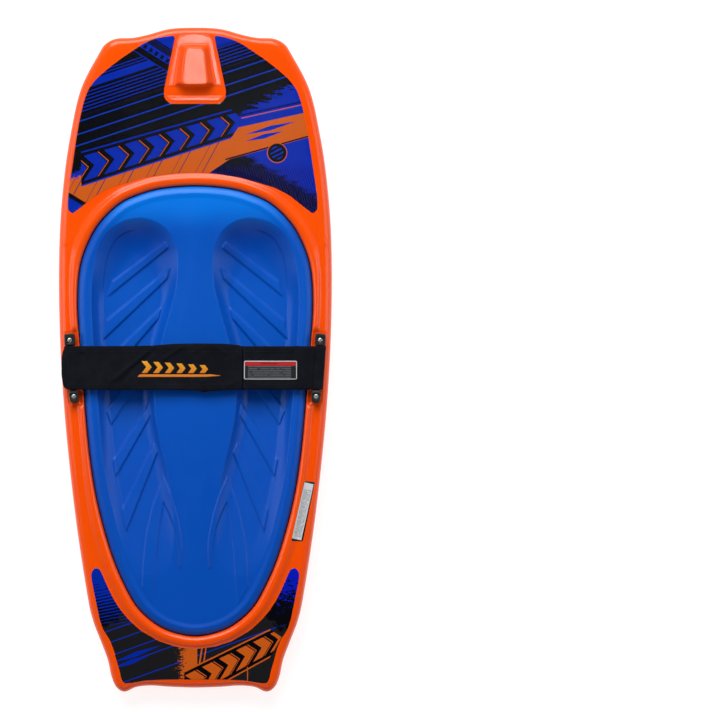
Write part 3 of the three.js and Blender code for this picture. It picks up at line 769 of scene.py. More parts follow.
def granular(name, color, light, size, height, roughness, **settings):
    """Foam, plug plastic and pile: speckled colour and a grain of one size."""
    made = Material(name, color, roughness, **settings)
    made.paint(made.noise(size * 3, 3).above(0.55, 0.15) * 0.6, light)
    made.bump(made.noise(size, 3), height, 0.9)
    return made.data


def brass():
    made = Material("insert_brass", (196, 150, 66), 0.3, Metallic=1.0)
    made.rough(made.noise(1.5, 3) * 0.3 + 0.2)
    return made.data


# ---- Rings round the hull ----

RING_STEP = 4.6  # spacing of the points round the hull's edge

edge = smooth_curve(mirrored(OUTLINE), RING_STEP)
rim_fine = smooth_curve(mirrored(PAD_OUTLINE), 1.5)


def angles(loop):
    return np.unwrap(np.arctan2(loop[:, 0], loop[:, 1] - PAD_CENTRE_Y))


def matched_rim(loop):
    """The pad outline's points that lie on the rays from the pad's centre through a loop's points."""
    fine, wanted = angles(rim_fine), angles(loop)
    turn = 2 * math.pi
    return np.column_stack([np.interp(wanted, fine, rim_fine[:, k], period=turn) for k in range(2)])


rim = matched_rim(edge)
rim_out = outward(rim)
bead_width = np.clip(0.3 * np.linalg.norm(edge - rim, axis=1), *BEAD_WIDTH)


def round_rim(offset, height):
    """A ring at an offset from the recess's rim, positive outwards, in millimetres at each point."""
    return at_height(rim + rim_out * np.broadcast_to(offset, (len(rim),))[:, None], height)


def to_spine(loop, share, spine, height):
    """A ring part of the way from a loop to a line along the middle."""
    target = np.column_stack([np.zeros(len(loop)), np.clip(loop[:, 1], *spine)])
    return at_height(lerp(loop, target, share), height)


# ---- Hull ----

BRACKET_X, BRACKET_Y, BRACKET_TILT = 244.6, -16, math.radians(4.2)
LAND_WIDTH, LAND_LENGTH, LAND_HEIGHT = 24.5, 141, 64
LAND_SLOPE = 0.9  # how steeply the deck rises round a bracket's land
DIMPLES = [(-260, 233), (260, 233)]


def in_bracket_frame(x, y, side):
    """Plan coordinates in a bracket's own tilted frame."""
    turn = side * BRACKET_TILT
    dx, dy = x - side * BRACKET_X, y - BRACKET_Y
    return dx * math.cos(turn) - dy * math.sin(turn), dx * math.sin(turn) + dy * math.cos(turn)


def hull_rings():
    spine = to_spine(edge, 1, HULL_SPINE, rocker)
    chine = to_spine(edge, CHINE, HULL_SPINE, rocker)
    bevel = at_height(shrunk(edge, BEVEL_INSET), lambda y: edge_height(y) - BEVEL_DROP)
    rings = [spine, *between(spine, chine, 12), *between(chine, bevel, 10)]
    for t in np.linspace(0, 1, 7)[1:-1]:  # the rail's round underside
        inset = BEVEL_INSET * (1 - t) ** 2 + t * (1 - t)
        drop = BEVEL_DROP * (1 - t) ** 2 + 2 * 7.5 * t * (1 - t)
        rings.append(at_height(shrunk(edge, inset), lambda y: edge_height(y) - drop))
    rings.append(at_height(edge, edge_height))
    for turn in np.linspace(0, math.pi / 2, 10)[1:]:  # the rail's roll up to the deck
        inset = RAIL_ROLL * (1 - math.cos(turn))
        rings.append(at_height(shrunk(edge, inset),
                               lambda y: lerp(edge_height(y), deck_height(y), math.sin(turn))))
    foot = round_rim(bead_width + 3, deck_height)
    rings += between(rings[-1], foot, 10)
    for share in np.linspace(1, 0, 13):  # the bead
        up = BEAD_HEIGHT * (1 - abs(2 * share - 1) ** 2.4)
        rings.append(round_rim(share * bead_width, lambda y: deck_height(y) + up))
    low = round_rim(0, FLOOR_HEIGHT)
    rings += between(rings[-1], low, 5)
    rings += between(low, to_spine(rim, 1, PAD_SPINE, FLOOR_HEIGHT), 4)
    return soften(rings, 2, keep=(0, 1, -1, -2, -3, -4, -5))


def soften(rings, passes, keep):
    """Evens out the corners across the rings, as a mould's radii do."""
    rings = np.array(rings)
    held = rings[list(keep)]
    for _ in range(passes):
        rings[1:-1] = 0.5 * rings[1:-1] + 0.25 * (rings[:-2] + rings[2:])
        rings[list(keep)] = held
    return list(rings)


def cut_lands(ring):
    """Sinks the deck to a flat where each bracket stands, and raises the two small dimples."""
    x, y, z = ring.T
    for side in SIDES.values():
        across, along = in_bracket_frame(x, y, side)
        beyond = np.maximum(abs(across) - LAND_WIDTH / 2, abs(along) - LAND_LENGTH / 2)
        limit = LAND_HEIGHT + np.maximum(0, beyond) * LAND_SLOPE
        z = np.where(z > FLOOR_HEIGHT + 15, np.minimum(z, limit), z)
    for place in DIMPLES:
        z = z + 1.6 * bump_at(x, y, place, 5)
    return np.column_stack([x, y, z])


plastic = hull_plastic()
hull = ring_body("hull_skin", [cut_lands(r) for r in hull_rings()], plastic,
                 replaces=["hull_shell"], slot="hull_plastic")
hull_tree = BVHTree.FromPolygons([v.co for v in hull.data.vertices],
                                 [tuple(f.vertices) for f in hull.data.polygons])


def hull_heights(x, y, start, missing):
    """Heights where vertical rays first meet the hull, from 1 m above it or, for a start of -1, below it."""
    heights = []
    for px, py in zip(x, y):
        hit = hull_tree.ray_cast(Vector((px * MM, py * MM, start)), Vector((0, 0, -start)))[0]
        heights.append(hit.z / MM if hit else missing(py))
    return np.array(heights)


def deck_at(x, y):
    return hull_heights(x, y, 1, deck_height)


def underside_at(x, y):
    return hull_heights(x, y, -1, rocker)


# ---- Knee pad ----

WELL_ROWS = [  # right knee well's top edge: y, inner x, outer x
    (283, 104, 116), (277, 80, 143), (262, 58, 168), (240, 44, 185), (208, 34.5, 198), (152, 37, 206),
    (116, 45, 206.5), (80, 55, 205.5), (40, 66, 203.5), (0, 74, 200), (-59, 81, 196), (-110, 79, 191.5),
    (-160, 70, 187), (-220, 56, 180), (-290, 44, 166), (-350, 42, 151), (-400, 48, 132), (-438, 66, 112),
    (-455, 86, 94),
]
WELL_FLOOR = 44
WELL_FADE_START, WELL_FADE_END, WELL_FADE_RISE = -40, -430, 24.5
WELL_WALL, WELL_FRONT_WALL = 25, 80
LEDGE, LEDGE_INSET = 1.5, 22  # small step on the wells' outer walls
RIM_ROLL = 13  # width of the pad's rounded edge
RIB_RISE, RIB_EDGE = 3.8, 2.0
RIBS = [  # left well: inner upper, inner lower, outer lower and outer upper corner
    [(-60, 236), (-53, 224), (-174, 127), (-166, 157)],
    [(-49.5, 186), (-55, 163), (-183, 41), (-178, 79)],
    [(-68, 106), (-73, 83), (-179, -41), (-181, -3)],
    [(-82, 24), (-86, -1), (-167, -129), (-179, -100)],
    [(-92, -85), (-88, -109), (-158, -232), (-164, -198)],
    [(-83, -164), (-75, -184), (-137, -341), (-146, -296)],
]
LEAF_RISE = 2.6
LEAF = [  # left half's split chevron, from its left foot round the point to its right foot
    (-106, -450), (-104, -401), (-98, -347), (-85, -289), (-64, -229), (-48, -266), (-35, -308),
    (-27, -347), (-24.5, -380), (-27, -415), (-32, -412), (-35, -369), (-42, -332), (-52.5, -304),
    (-63, -283), (-69, -321), (-76, -380), (-79.5, -434), (-84, -488),
]
PAD_RING_STEP = 2350 / 1100  # the pad's edge is about 2350 long and has about 1100 points
PAD_RINGS = 150


def well_depth(x, y):
    """How deep the knee wells go below the pad's top."""
    right = [(outer, yy) for yy, _, outer in WELL_ROWS]
    left = [(inner, yy) for yy, inner, _ in reversed(WELL_ROWS)]
    inside = distance_inside(abs(x), y, smooth_curve(right + left, 8))
    fade = share_of(y, WELL_FADE_START, WELL_FADE_END)
    floor = WELL_FLOOR + WELL_FADE_RISE * fade
    full = np.maximum(0, pad_height(y) - floor)
    wall = WELL_WALL * (1 + 0.4 * fade) + (WELL_FRONT_WALL - WELL_WALL) * smoothstep(share_of(y, 110, 235))
    slope = share_of(inside, 0, wall)
    depth = full * slope * (2 - slope)
    outer = smoothstep(share_of(abs(x), 110, 135))
    ledge = LEDGE * smoothstep(share_of(inside, LEDGE_INSET, LEDGE_INSET + 1.8)) * (1 - fade) * outer
    return depth + ledge, inside


def raised(x, y, outline, edge_width):
    return smoothstep(share_of(distance_inside(x, y, outline), -0.3 * edge_width, 0.7 * edge_width))


def rib_relief(x, y):
    """Raised slanted ribs in both wells and the split chevrons behind them."""
    relief = np.zeros(x.shape)
    mirrored_x = -abs(x)
    for corners in RIBS:
        near = (y < corners[0][1] + 20) & (y > corners[2][1] - 20) & (mirrored_x < -30)
        relief[near] += RIB_RISE * raised(mirrored_x[near], y[near], corners, RIB_EDGE)
    near = (y < -200) & (y > -520)
    fade = share_of(y[near], -520, -400)
    relief[near] += LEAF_RISE * fade * raised(mirrored_x[near], y[near], LEAF, RIB_EDGE)
    return relief


def pad_surface(x, y, inside):
    """Top of the pad at places a distance inside its outline."""
    z = pad_height(y) + 1.2 * smoothstep(share_of(inside, 6, 15)) - 1.6 * smoothstep(share_of(inside, 15, 26))
    depth, in_well = well_depth(x, y)
    crown = 2.2 * np.exp(-((x / 40) ** 2)) * share_of(-in_well, 0, 30)
    return z + crown - depth + rib_relief(x, y)


def pad_rings():
    rim_loop = smooth_curve(mirrored(PAD_OUTLINE), PAD_RING_STEP)
    outer = shrunk(rim_loop, PAD_CLEARANCE)
    bottom = to_spine(outer, 1, PAD_SPINE, FLOOR_HEIGHT + 0.6)
    rings = [bottom, *between(bottom, at_height(outer, FLOOR_HEIGHT + 0.6), 3)]
    side_top = at_height(outer, lambda y: pad_height(y) - RIM_ROLL * 0.75)
    rings += between(rings[-1], side_top, 4)
    for turn in np.linspace(0, math.pi / 2, 9)[1:]:
        inset = RIM_ROLL * (1 - math.cos(turn))
        loop = shrunk(outer, inset)
        top = pad_surface(loop[:, 0], loop[:, 1], np.full(len(loop), inset))
        low = pad_height(loop[:, 1]) - RIM_ROLL * 0.75
        rings.append(np.column_stack([loop, lerp(low, top, math.sin(turn))]))
    loop = rings[-1][:, :2]
    target = np.column_stack([np.zeros(len(loop)), np.clip(loop[:, 1], *PAD_SPINE)])
    shares = np.linspace(0, 1, PAD_RINGS)[1:]
    flat = [lerp(loop, target, share) for share in shares]
    x, y = np.concatenate(flat).T
    inside = distance_inside(x, y, smooth_curve(mirrored(PAD_OUTLINE), 12))
    z = pad_surface(x, y, inside)
    rings += np.split(np.column_stack([x, y, z]), len(shares))
    return rings


foam = pad_foam()
pad = ring_body("knee_pad_foam", pad_rings(), foam, replaces=["knee_pad"], slot="pad_foam")

# ---- Tow hook and fins, moulded with the hull ----

HOOK_LOW, HOOK_HIGH = -2.5, 26
HOOK_BASE = [(-28.5, 626), (28.5, 626), (44, 540), (-44, 540)]
HOOK_TOP = [(-19.5, 619), (19.5, 619), (27, 546), (-27, 546)]
FLANGE = [(0, 648), (35, 645), (44, 600), (58, 536), (56, 520), (46, 513), (0, 513)]
FLANGE_HEIGHT = 3
THROAT_Y, THROAT_ABOVE, THROAT_RADIUS = 533, 13.5, 14.5
NOSE_FIN = {"inner": 141, "bulge": 24, "front": 595, "rear": 339, "depth": 12}
TAIL_FIN = {"inner": 138, "bulge": 17, "front": -387, "rear": -640, "depth": 9}


def on_deck(above):
    return lambda y: deck_height(y) + above


def throat():
    """A rod across the board that the hook's rear is hollowed with."""
    loop = circle(THROAT_RADIUS, (THROAT_Y, deck_height(THROAT_Y) + THROAT_ABOVE), 48)
    return solid_rings([np.insert(loop, 0, x, axis=1) for x in (-62, 62)])


def tow_hook():
    base, top = (rounded_corners(corners, 9) for corners in (HOOK_BASE, HOOK_TOP))
    flare = [at_height(lerp(base, top, share), on_deck(lerp(HOOK_LOW, HOOK_HIGH, share)))
             for share in (0, 0.5, 1)]
    outline = rounded_corners(mirrored(FLANGE), 12)
    flange = [at_height(outline, on_deck(HOOK_LOW)), at_height(outline, on_deck(FLANGE_HEIGHT))]
    return moulded("tow_hook", [solid_rings(flare), solid_rings(flange)], [throat()], 1.3, 7, plastic,
                   replaces=["hull_shell"], slot="hull_plastic")


def fin(name, shape, side):
    """A keel strip, as deep and as wide in its middle as it gets, running out to nothing at both ends."""
    across = np.linspace(0, 1, 21)
    drop = np.sqrt(np.maximum(0, 1 - abs(2 * across - 1) ** 5))
    rings = []
    for y in np.linspace(shape["front"], shape["rear"], 90):
        sweep = math.sin(math.pi * share_of(y, shape["front"], shape["rear"]))
        x = side * (shape["inner"] + (4 + (shape["bulge"] - 4) * sweep) * across)
        hull_bottom = underside_at(x, np.full(len(x), y))
        depth = np.maximum(0, hull_bottom - rocker(y) + shape["depth"]) * sweep + 1.5
        bottom = np.column_stack([x, np.full(len(x), y), hull_bottom + 1.5 - depth * drop])
        top = np.array([[x[10], y, hull_bottom[10] + 2]])
        rings.append(np.concatenate([bottom, top]))
    new_piece(name, *solid_rings(rings), plastic, replaces=["hull_shell"], slot="hull_plastic")


hook = tow_hook()
for word, side in SIDES.items():
    fin(f"nose_fin_{word}", NOSE_FIN, side)
    fin(f"tail_fin_{word}", TAIL_FIN, side)

# ---- Decals ----

NOSE_DECAL = [
    (38, 645), (76, 638), (97, 628), (112, 618), (142, 598), (168, 578), (192, 557), (207, 537), (216, 512),
    (224, 478), (231, 438), (237, 398), (243, 358), (248, 322), (248, 299), (239, 291), (222, 304),
    (192, 328), (163, 343), (95, 363), (38, 371), (0, 373),
]
NOSE_DECAL_SHIFT = -5  # the film is stuck on a little to the left
NOSE_DECAL_SLOT = [(0, 509), (48, 509), (60, 518), (62, 534)]  # round the hook's flange
TAIL_DECAL_INNER = [
    (0, -574), (40, -569), (73, -558), (109, -537), (131, -517), (148, -497), (161, -477), (171, -457),
    (180, -437), (184, -427), (190, -415),
]
TAIL_DECAL = [
    (199, -412), (207, -422), (206, -437), (202, -457), (194, -496), (190, -516), (183, -536), (170, -556),
    (162, -576), (157, -596), (151, -616), (147, -634), (142, -643), (122, -641), (100, -637), (60, -635),
    (0, -635),
]
RAIL_LABEL = [(217, -240), (238, -242), (214, -360), (191, -359)]
FILM_RISE = 0.35  # above the deck, and as much is sunk into it


def laid_on(surface, depth, rise, name, outlines, step, material, **kwargs):
    """A thin layer that follows a surface, from a depth inside it to a rise above it."""
    return plates(name, outlines, step, lambda x, y: surface(x, y) - depth,
                  lambda x, y: surface(x, y) + rise, material, edge=0.5, **kwargs)


def decal(name, outline, material, node, slot):
    return laid_on(deck_at, FILM_RISE, FILM_RISE, name, [outline], 3.0, material,
                   replaces=[node], slot=slot)


nose_outline = rounded_corners(mirrored(NOSE_DECAL_SLOT + NOSE_DECAL), 9, 6)
nose_outline[:, 0] += NOSE_DECAL_SHIFT * (abs(nose_outline[:, 0]) > 65)
nose_decal = decal("nose_decal_print", nose_outline, nose_art(), "nose_decal", "decal_film")
decal("tail_decal_print", rounded_corners(mirrored(TAIL_DECAL_INNER + TAIL_DECAL), 5, 6), tail_art(),
      "tail_decal", "decal_film")
decal("rail_label_print", rounded_corners(RAIL_LABEL, 2), rail_label_art(), "rail_label", "label_film")

# ---- Brackets and screws ----

BRACKET_WIDTH, BRACKET_LENGTH, BRACKET_BASE, BRACKET_TOP = 22, 138, 64.3, 84.4
BRACKET_WINDOW = 92
BAR_WIDTH, BAR_LOW, BAR_HIGH = 14, 75, 81
SCREW_SPACING = 112
SCREW_RADIUS, SCREW_SEAT, SCREW_HEAD, SCREW_END = 5, 81.1, 2.8, 50
COUNTERBORE = 6.2


def at_bracket(side):
    """Moves points from a bracket's own frame to its place."""
    turn = side * BRACKET_TILT

    def place(points):
        x, y, z = points.T
        return np.column_stack([
            side * BRACKET_X + x * math.cos(turn) + y * math.sin(turn),
            BRACKET_Y - x * math.sin(turn) + y * math.cos(turn),
            z,
        ])
    return place


def bracket(word, side):
    """Two feet with a bar between them; the rear foot tapers."""
    half, window = BRACKET_WIDTH / 2, BRACKET_WINDOW / 2
    end = BRACKET_LENGTH / 2
    solids = []
    for sign, end_half, radius in ((1, 10.4, 4.5), (-1, 7.2, 6)):
        foot = rounded_corners(np.array([(-half, window), (half, window), (end_half, end), (-end_half, end)])
                               * [1, sign], radius)
        lowered = foot * [0.93, 1]
        solids.append(solid_rings([at_height(foot, BRACKET_BASE), at_height(foot, BRACKET_TOP - 3),
                                   at_height(lowered, BRACKET_TOP)]))
    bar = rounded_corners(rectangle((-BAR_WIDTH / 2, BAR_WIDTH / 2), (BAR_LOW, BAR_HIGH)), 1.5)
    reach = window + 5
    solids.append(solid_rings([upright(bar, y) for y in (-reach, reach)]))
    cuts = [solid_rings(turned([(COUNTERBORE, SCREW_SEAT - 0.3), (COUNTERBORE, BRACKET_TOP + 3)])
                        + np.array([0, y, 0])) for y in (-SCREW_SPACING / 2, SCREW_SPACING / 2)]
    moulded(f"strap_bracket_{word}", solids, cuts, 0.6, 3, nylon, place=at_bracket(side),
            replaces=[f"bracket_{word}"], slot="bracket_nylon")


def screw(word, end, side, y):
    """Pan head with a cross recess; its shank runs down into the insert."""
    rings = turned([(1.2, SCREW_END), (2, SCREW_END + 1.5), (2, SCREW_SEAT), (4.6, SCREW_SEAT),
                    (SCREW_RADIUS, SCREW_SEAT + 0.4)], 64)
    for turn in np.linspace(0.1, math.pi / 2, 26):
        radius = max(SCREW_RADIUS * math.cos(turn), 0.02)
        ring = at_height(circle(radius, count=64), SCREW_SEAT + 0.4 + SCREW_HEAD * math.sin(turn) ** 0.7)
        slot_depth = share_of(0.75 - np.minimum(abs(ring[:, 0]), abs(ring[:, 1])), -0.12, 0.12)
        ring[:, 2] -= 1.7 * slot_depth * share_of(3.1 - radius, 0, 0.9)
        rings.append(ring)
    vertices, faces = solid_rings(rings)
    place = at_bracket(side)
    twist = 0.5 + side * 0.3 + y * 0.01  # no two cross recesses stand at the same angle
    across, along = vertices[:, 0].copy(), vertices[:, 1].copy()
    vertices[:, 0] = across * math.cos(twist) - along * math.sin(twist)
    vertices[:, 1] = across * math.sin(twist) + along * math.cos(twist) + y
    new_piece(f"pan_screw_{word}_{end}", place(vertices), faces, steel,
              replaces=[f"screw_{word}_{end}"], slot="screw_steel")


nylon, steel = bracket_nylon(), screw_steel()
for word, side in SIDES.items():
    bracket(word, side)
    screw(word, "front", side, SCREW_SPACING / 2)
    screw(word, "rear", side, -SCREW_SPACING / 2)

# ---- Strap ----

STRAP_Y, STRAP_WIDTH = -15, 86
STRAP_YS = (STRAP_Y - STRAP_WIDTH / 2, STRAP_Y + STRAP_WIDTH / 2)
WEB_THICKNESS, WEB_LENGTH = 2, 305
WEB_HEIGHT = 81.3  # of the webbing's middle
BAR_MIDDLE = (BAR_LOW + BAR_HIGH) / 2
LOOP_RADIUS = 4.4  # of the webbing's middle round the bar
FLAP_XS, FLAP_ZS = (-265, 94), (85.2, 88.0)
COVER_XS, COVER_ZS = (95.5, 236), (82.7, 87.9)
PAD_END, PAD_ZS = 212, (74.0, 80.0)
PAD_VOXEL, PAD_PRESSURE, PAD_SWELL, CLOTH_FRAMES = 2.2, 4, 1.6, 20
CHANNEL_SPACING = 27  # between the sewn channels across the sleeve
TAPE_XS, TAPE_WIDTH = (-200, 70), 74
LOOP_TAPE_ZS, HOOK_TAPE_ZS = (82.6, 83.7), (83.9, 85.0)
HEM_WIDTH, HEM_RISE = 13, 0.7
HEM_ROWS = {"front": STRAP_YS[1] - 10.5, "rear": STRAP_YS[0] + 10.5}
STITCH_SPACING, STITCH_LENGTH, STITCH_RADIUS = 3.4, 2.5, 0.33
ARCH_HALF = 222  # the strap arches between its brackets, and is flat from the flap's root to the right
ARCH_FADE = (84, 20)
PRINT_RISE = 0.4

webbing = woven("strap_webbing", (8, 10, 16), (22, 26, 36), 1.9, 0.16)
flap_cloth = woven("flap_cloth", (7, 9, 16), (20, 24, 34), 1.1, 0.1)
neoprene = woven("strap_neoprene", (12, 13, 17), (27, 29, 35), 0.8, 0.07)
thread = woven("thread", (22, 25, 34), (50, 54, 66), 0.5, 0.02)


def drape(x, y):
    """How much every layer of the strap arches and ripples above its flat height."""
    share = np.maximum(0, 1 - (x / ARCH_HALF) ** 2) * smoothstep(share_of(x, *ARCH_FADE))
    return share * (3.4 + 1.2 * np.sin(x / 46 + y / 28) + 0.8 * np.sin(y / 15 - x / 64))


def draped(height):
    """A level layer's height once it is draped."""
    return lambda x, y: height + drape(x, y)


def bend_with_strap(piece):
    """Puts the piece's placement into its mesh points."""
    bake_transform(piece)


def web_path():
    """Middle line of the webbing in X and Z, from the board's middle out, round the bar and back in."""
    centre = BRACKET_X + BAR_WIDTH / 2
    points = [(x, WEB_HEIGHT) for x in (0, 60, 120, 170, 205, 222)]
    points += [(centre - 18, BAR_MIDDLE + LOOP_RADIUS - 0.4)]
    for turn in np.linspace(0, math.pi, 13):
        points.append((centre + LOOP_RADIUS * math.sin(turn), BAR_MIDDLE + LOOP_RADIUS * math.cos(turn)))
    points += [(centre - 16, BAR_MIDDLE - LOOP_RADIUS), (222, 74.6), (206, 76.6)]
    return smooth_curve(points, 1.6, closed=False)


def webbing_half(word, side):
    path = web_path()
    ahead = np.gradient(path, axis=0)
    normal = np.column_stack([-ahead[:, 1], ahead[:, 0]]) / np.linalg.norm(ahead, axis=1)[:, None]
    rings = []
    for y in np.linspace(*STRAP_YS, 45):
        edge_near = min(abs(y - STRAP_YS[0]), abs(y - STRAP_YS[1]))
        half = WEB_THICKNESS / 2 * (0.55 + 0.45 * math.sqrt(share_of(edge_near, 0, 1.5)))
        outer, inner = path + normal * half, path - normal * half
        loop = np.concatenate([outer, inner[::-1]])
        lean = math.tan(BRACKET_TILT) * (y - BRACKET_Y) * share_of(loop[:, 0], 190, 236)
        x = side * (loop[:, 0] + lean)
        rings.append(upright(np.column_stack([x, loop[:, 1] + drape(x, y)]), y))
    nodes = [f"strap_loop_{word}"] + (["strap_web"] if side > 0 else [])
    piece = new_piece(f"webbing_{word}", *solid_rings(rings), webbing, body=None, replaces=nodes,
                      slot="strap_webbing")
    bend_with_strap(piece)


def puffed(piece, pressure, limit):
    """Swells a closed fabric piece with Blender's cloth; no point moves further than the limit."""
    start = mesh_points(piece)
    cloth = piece.modifiers.new("cloth", "CLOTH")
    cloth.settings.use_pressure = True
    cloth.settings.uniform_pressure_force = pressure
    cloth.settings.effector_weights.gravity = 0
    for number in range(1, CLOTH_FRAMES + 1):
        bpy.context.scene.frame_set(number)
    apply_modifiers(piece)
    bpy.context.scene.frame_set(1)
    moved = mesh_points(piece) - start
    far = np.linalg.norm(moved, axis=1)[:, None]
    return start + moved * np.minimum(1, limit / np.maximum(far, 1e-6))


def pad_half(word, side):
    """Half of the padded sleeve under the webbing: swelled as cloth, then sewn down in channels."""
    outline = rounded_corners(rectangle((0, PAD_END), (STRAP_YS[0] - 1, STRAP_YS[1] + 1)), 6)
    low, high = PAD_ZS
    slab = solid_rings([at_height(outline, low + 0.9), at_height(outline, high - 0.5)])
    piece = new_piece(f"thigh_pad_{word}", *slab, neoprene, body=None, replaces=["thigh_pad"],
                      slot="strap_neoprene")
    remesh(piece, PAD_VOXEL)
    points = puffed(piece, PAD_PRESSURE, PAD_SWELL)
    x, y, z = points.T
    below = share_of(z, (low + high) / 2, low)
    channel = 0.9 * np.exp(-(((x + 13) % CHANNEL_SPACING - CHANNEL_SPACING / 2) / 2.2) ** 2)
    z = np.clip(z + below * channel, low - 0.4, high) + drape(side * x, y)
    move_points(piece, np.column_stack([side * x, y, z]))
    subdivide = piece.modifiers.new("finer", "SUBSURF")
    subdivide.levels = 1
    apply_modifiers(piece)
    face_outwards(piece)
    bend_with_strap(piece)


def ridge(x, y, start, end, width):
    """A crease 1 high along a line between two places, running out at both ends."""
    start, end = np.array(start, float), np.array(end, float)
    length = np.linalg.norm(end - start)
    dx, dy = (end - start) / length
    along = (x - start[0]) * dx + (y - start[1]) * dy
    across = -(x - start[0]) * dy + (y - start[1]) * dx
    ends = smoothstep(share_of(along, 0, 0.3 * length)) * smoothstep(share_of(along, length, 0.7 * length))
    return np.exp(-((across / width) ** 2)) * ends


CREASES = [  # on the flap: start, end, width and height
    ((-80, 28), (-178, -52), 4.5, 3.0), ((-16, 32), (-72, -4), 3.6, 2.6), ((12, -36), (22, -60), 3.6, 2.0),
    ((-112, -12), (-158, -54), 3.4, -1.6), ((-66, 29), (-146, -34), 4, -1.8), ((70, 8), (38, 30), 4, 1.6),
    ((-240, -30), (-232, 18), 5, 1.3), ((-196, 28), (-176, -46), 6, 1.2), ((58, -56), (90, -36), 4, 1.3),
    ((-232, 26), (-200, 2), 4, 1.2), ((30, 32), (-14, 12), 3.6, 1.3),
]


def flap_outline():
    """The flap in plan: a bowed free end at the left, an upper edge that swells towards its root."""
    left, right = FLAP_XS
    low, high = STRAP_YS
    points = [(left + 5, low + 1), (left, low + 28), (left + 0.5, high - 18), (left + 7, high)]
    points += [(-120, high + 0.5), (-82, high + 1.5), (-40, high + 5), (8, high + 5.5), (60, high + 5)]
    points += [(right, high + 1.5), (right, low - 0.5), (48, low - 1.5), (30, low - 3.5), (17, low - 5.5)]
    points += [(6, low - 2), (-60, low), (-150, low - 1)]
    return rounded_corners(points, 8)


def hem_rise(inside):
    """How much the folded hem stands up at a distance inside the edge."""
    return HEM_RISE * smoothstep(share_of(inside, HEM_WIDTH + 0.8, HEM_WIDTH - 0.4))


def flap_top(x, y):
    creases = sum(height * ridge(x, y, start, end, width) for start, end, width, height in CREASES)
    inside = distance_inside(x, y, flap_outline())
    hemmed = abs(y - STRAP_Y) > 20
    hem = hem_rise(inside) * hemmed
    groove = 0.35 * np.exp(-(((inside - HEM_WIDTH + 2.5) / 0.8) ** 2)) * hemmed
    ripple = 0.35 * np.sin(x / 21 + y / 34) + 0.25 * np.sin(x / 9 - y / 15)
    fall = 1.6 * share_of(abs(y - STRAP_Y), 43, 49)
    return FLAP_ZS[1] - HEM_RISE + creases + hem - groove + ripple * 0.6 - fall + drape(x, y)


def flap_low(x, y):
    creases = sum(max(height, 0) * ridge(x, y, start, end, width) for start, end, width, height in CREASES)
    return np.minimum(FLAP_ZS[0] + creases * 0.8 + drape(x, y), flap_top(x, y) - 1.4)


def stitches(name, start, end, height, body):
    """A straight row of thread stitches between two places, on a surface of a given height."""
    start, end = np.array(start, float), np.array(end, float)
    length = np.linalg.norm(end - start)
    ahead = (end - start) / length
    dx, dy = ahead
    profile = [(-0.5, 0.35), (-0.32, 0.9), (0, 1.0), (0.32, 0.9), (0.5, 0.35)]
    solids = []
    for along in np.arange(STITCH_SPACING, length - STITCH_SPACING, STITCH_SPACING):
        rings = []
        for share, thick in profile:
            x, y = start + (along + share * STITCH_LENGTH) * ahead
            up, across = circle(STITCH_RADIUS * thick, count=6).T
            z = height(np.array([x]), np.array([y]))[0] + 0.1
            rings.append(np.column_stack([x - across * dy, y + across * dx, z + up]))
        solids.append(solid_rings(rings))
    return new_piece(name, *joined(solids), thread, body=body, slot="strap_webbing")


def strap_flap():
    flap = plates("flap", [flap_outline()], 1.9, flap_low, flap_top, flap_cloth, edge=1.2, body="flap",
                  replaces=["strap_flap"], slot="strap_webbing")
    hems = [stitches(f"flap_stitches_{word}", (-252, y), (90, y), flap_top, "flap")
            for word, y in HEM_ROWS.items()]
    left, (low, high) = FLAP_XS[0] + 13, STRAP_YS
    hems.append(stitches("flap_stitches_end", (left, low + 6), (left, high - 6), flap_top, "flap"))


def cover_top(x, y):
    inside = np.minimum(abs(y - STRAP_YS[0]), abs(y - STRAP_YS[1]))
    crease = 0.8 * ridge(x, y, (205, 26), (214, -52), 7) - 0.6 * ridge(x, y, (226, 20), (222, -48), 4)
    fall = 2.6 * smoothstep(share_of(x, 214, COVER_XS[1]))
    ripple = 0.3 * np.sin(x / 17 + y / 23)
    return COVER_ZS[1] - 0.9 + hem_rise(inside) * share_of(x, 232, 222) + crease + ripple - fall + drape(x, y)


def cover_low(x, y):
    return np.minimum(COVER_ZS[0] + 0.15 * share_of(x, 214, 236) + drape(x, y), cover_top(x, y) - 1.2)


def strap_cover():
    xs, ys = COVER_XS, STRAP_YS
    outline = rounded_corners([(xs[0], ys[0]), (xs[0], ys[1]), (212, ys[1] - 1), (xs[1] + 3, ys[1] - 2),
                               (xs[1] - 3, ys[0] + 1), (212, ys[0])], 3)
    cover = plates("cover", [outline], 2.6, cover_low, cover_top, flap_cloth, edge=1.2, body=None,
                   replaces=["strap_cover"], slot="strap_webbing")
    bend_with_strap(cover)
    for word, y in HEM_ROWS.items():
        stitches(f"cover_stitches_{word}", (97, y), (190, y), cover_top, "strap")
    root = xs[0] + 3
    stitches("cover_stitches_root", (root, ys[0] + 2), (root, ys[1] - 2), cover_top, "strap")


def tape(name, zs, node, body, material):
    half = TAPE_WIDTH / 2
    outline = rounded_corners(rectangle(TAPE_XS, (STRAP_Y - half, STRAP_Y + half)), 3)
    piece = plates(name, [outline], 3.5, draped(zs[0]), draped(zs[1]), material, edge=0.6, body=body,
                   replaces=[node], slot="fastener_tape")


for word, side in SIDES.items():
    webbing_half(word, side)
    pad_half(word, side)
tape("loop_tape_pile", LOOP_TAPE_ZS, "loop_tape", "strap",
     granular("loop_pile", (24, 25, 28), (52, 54, 60), 0.9, 0.5, 0.95, Sheen_Weight=0.3))
tape("hook_tape_pile", HOOK_TAPE_ZS, "hook_tape", "flap",
     granular("hook_pile", (20, 21, 24), (46, 47, 52), 0.6, 0.4, 0.7))
strap_cover()
strap_flap()

# ---- Prints on the strap ----

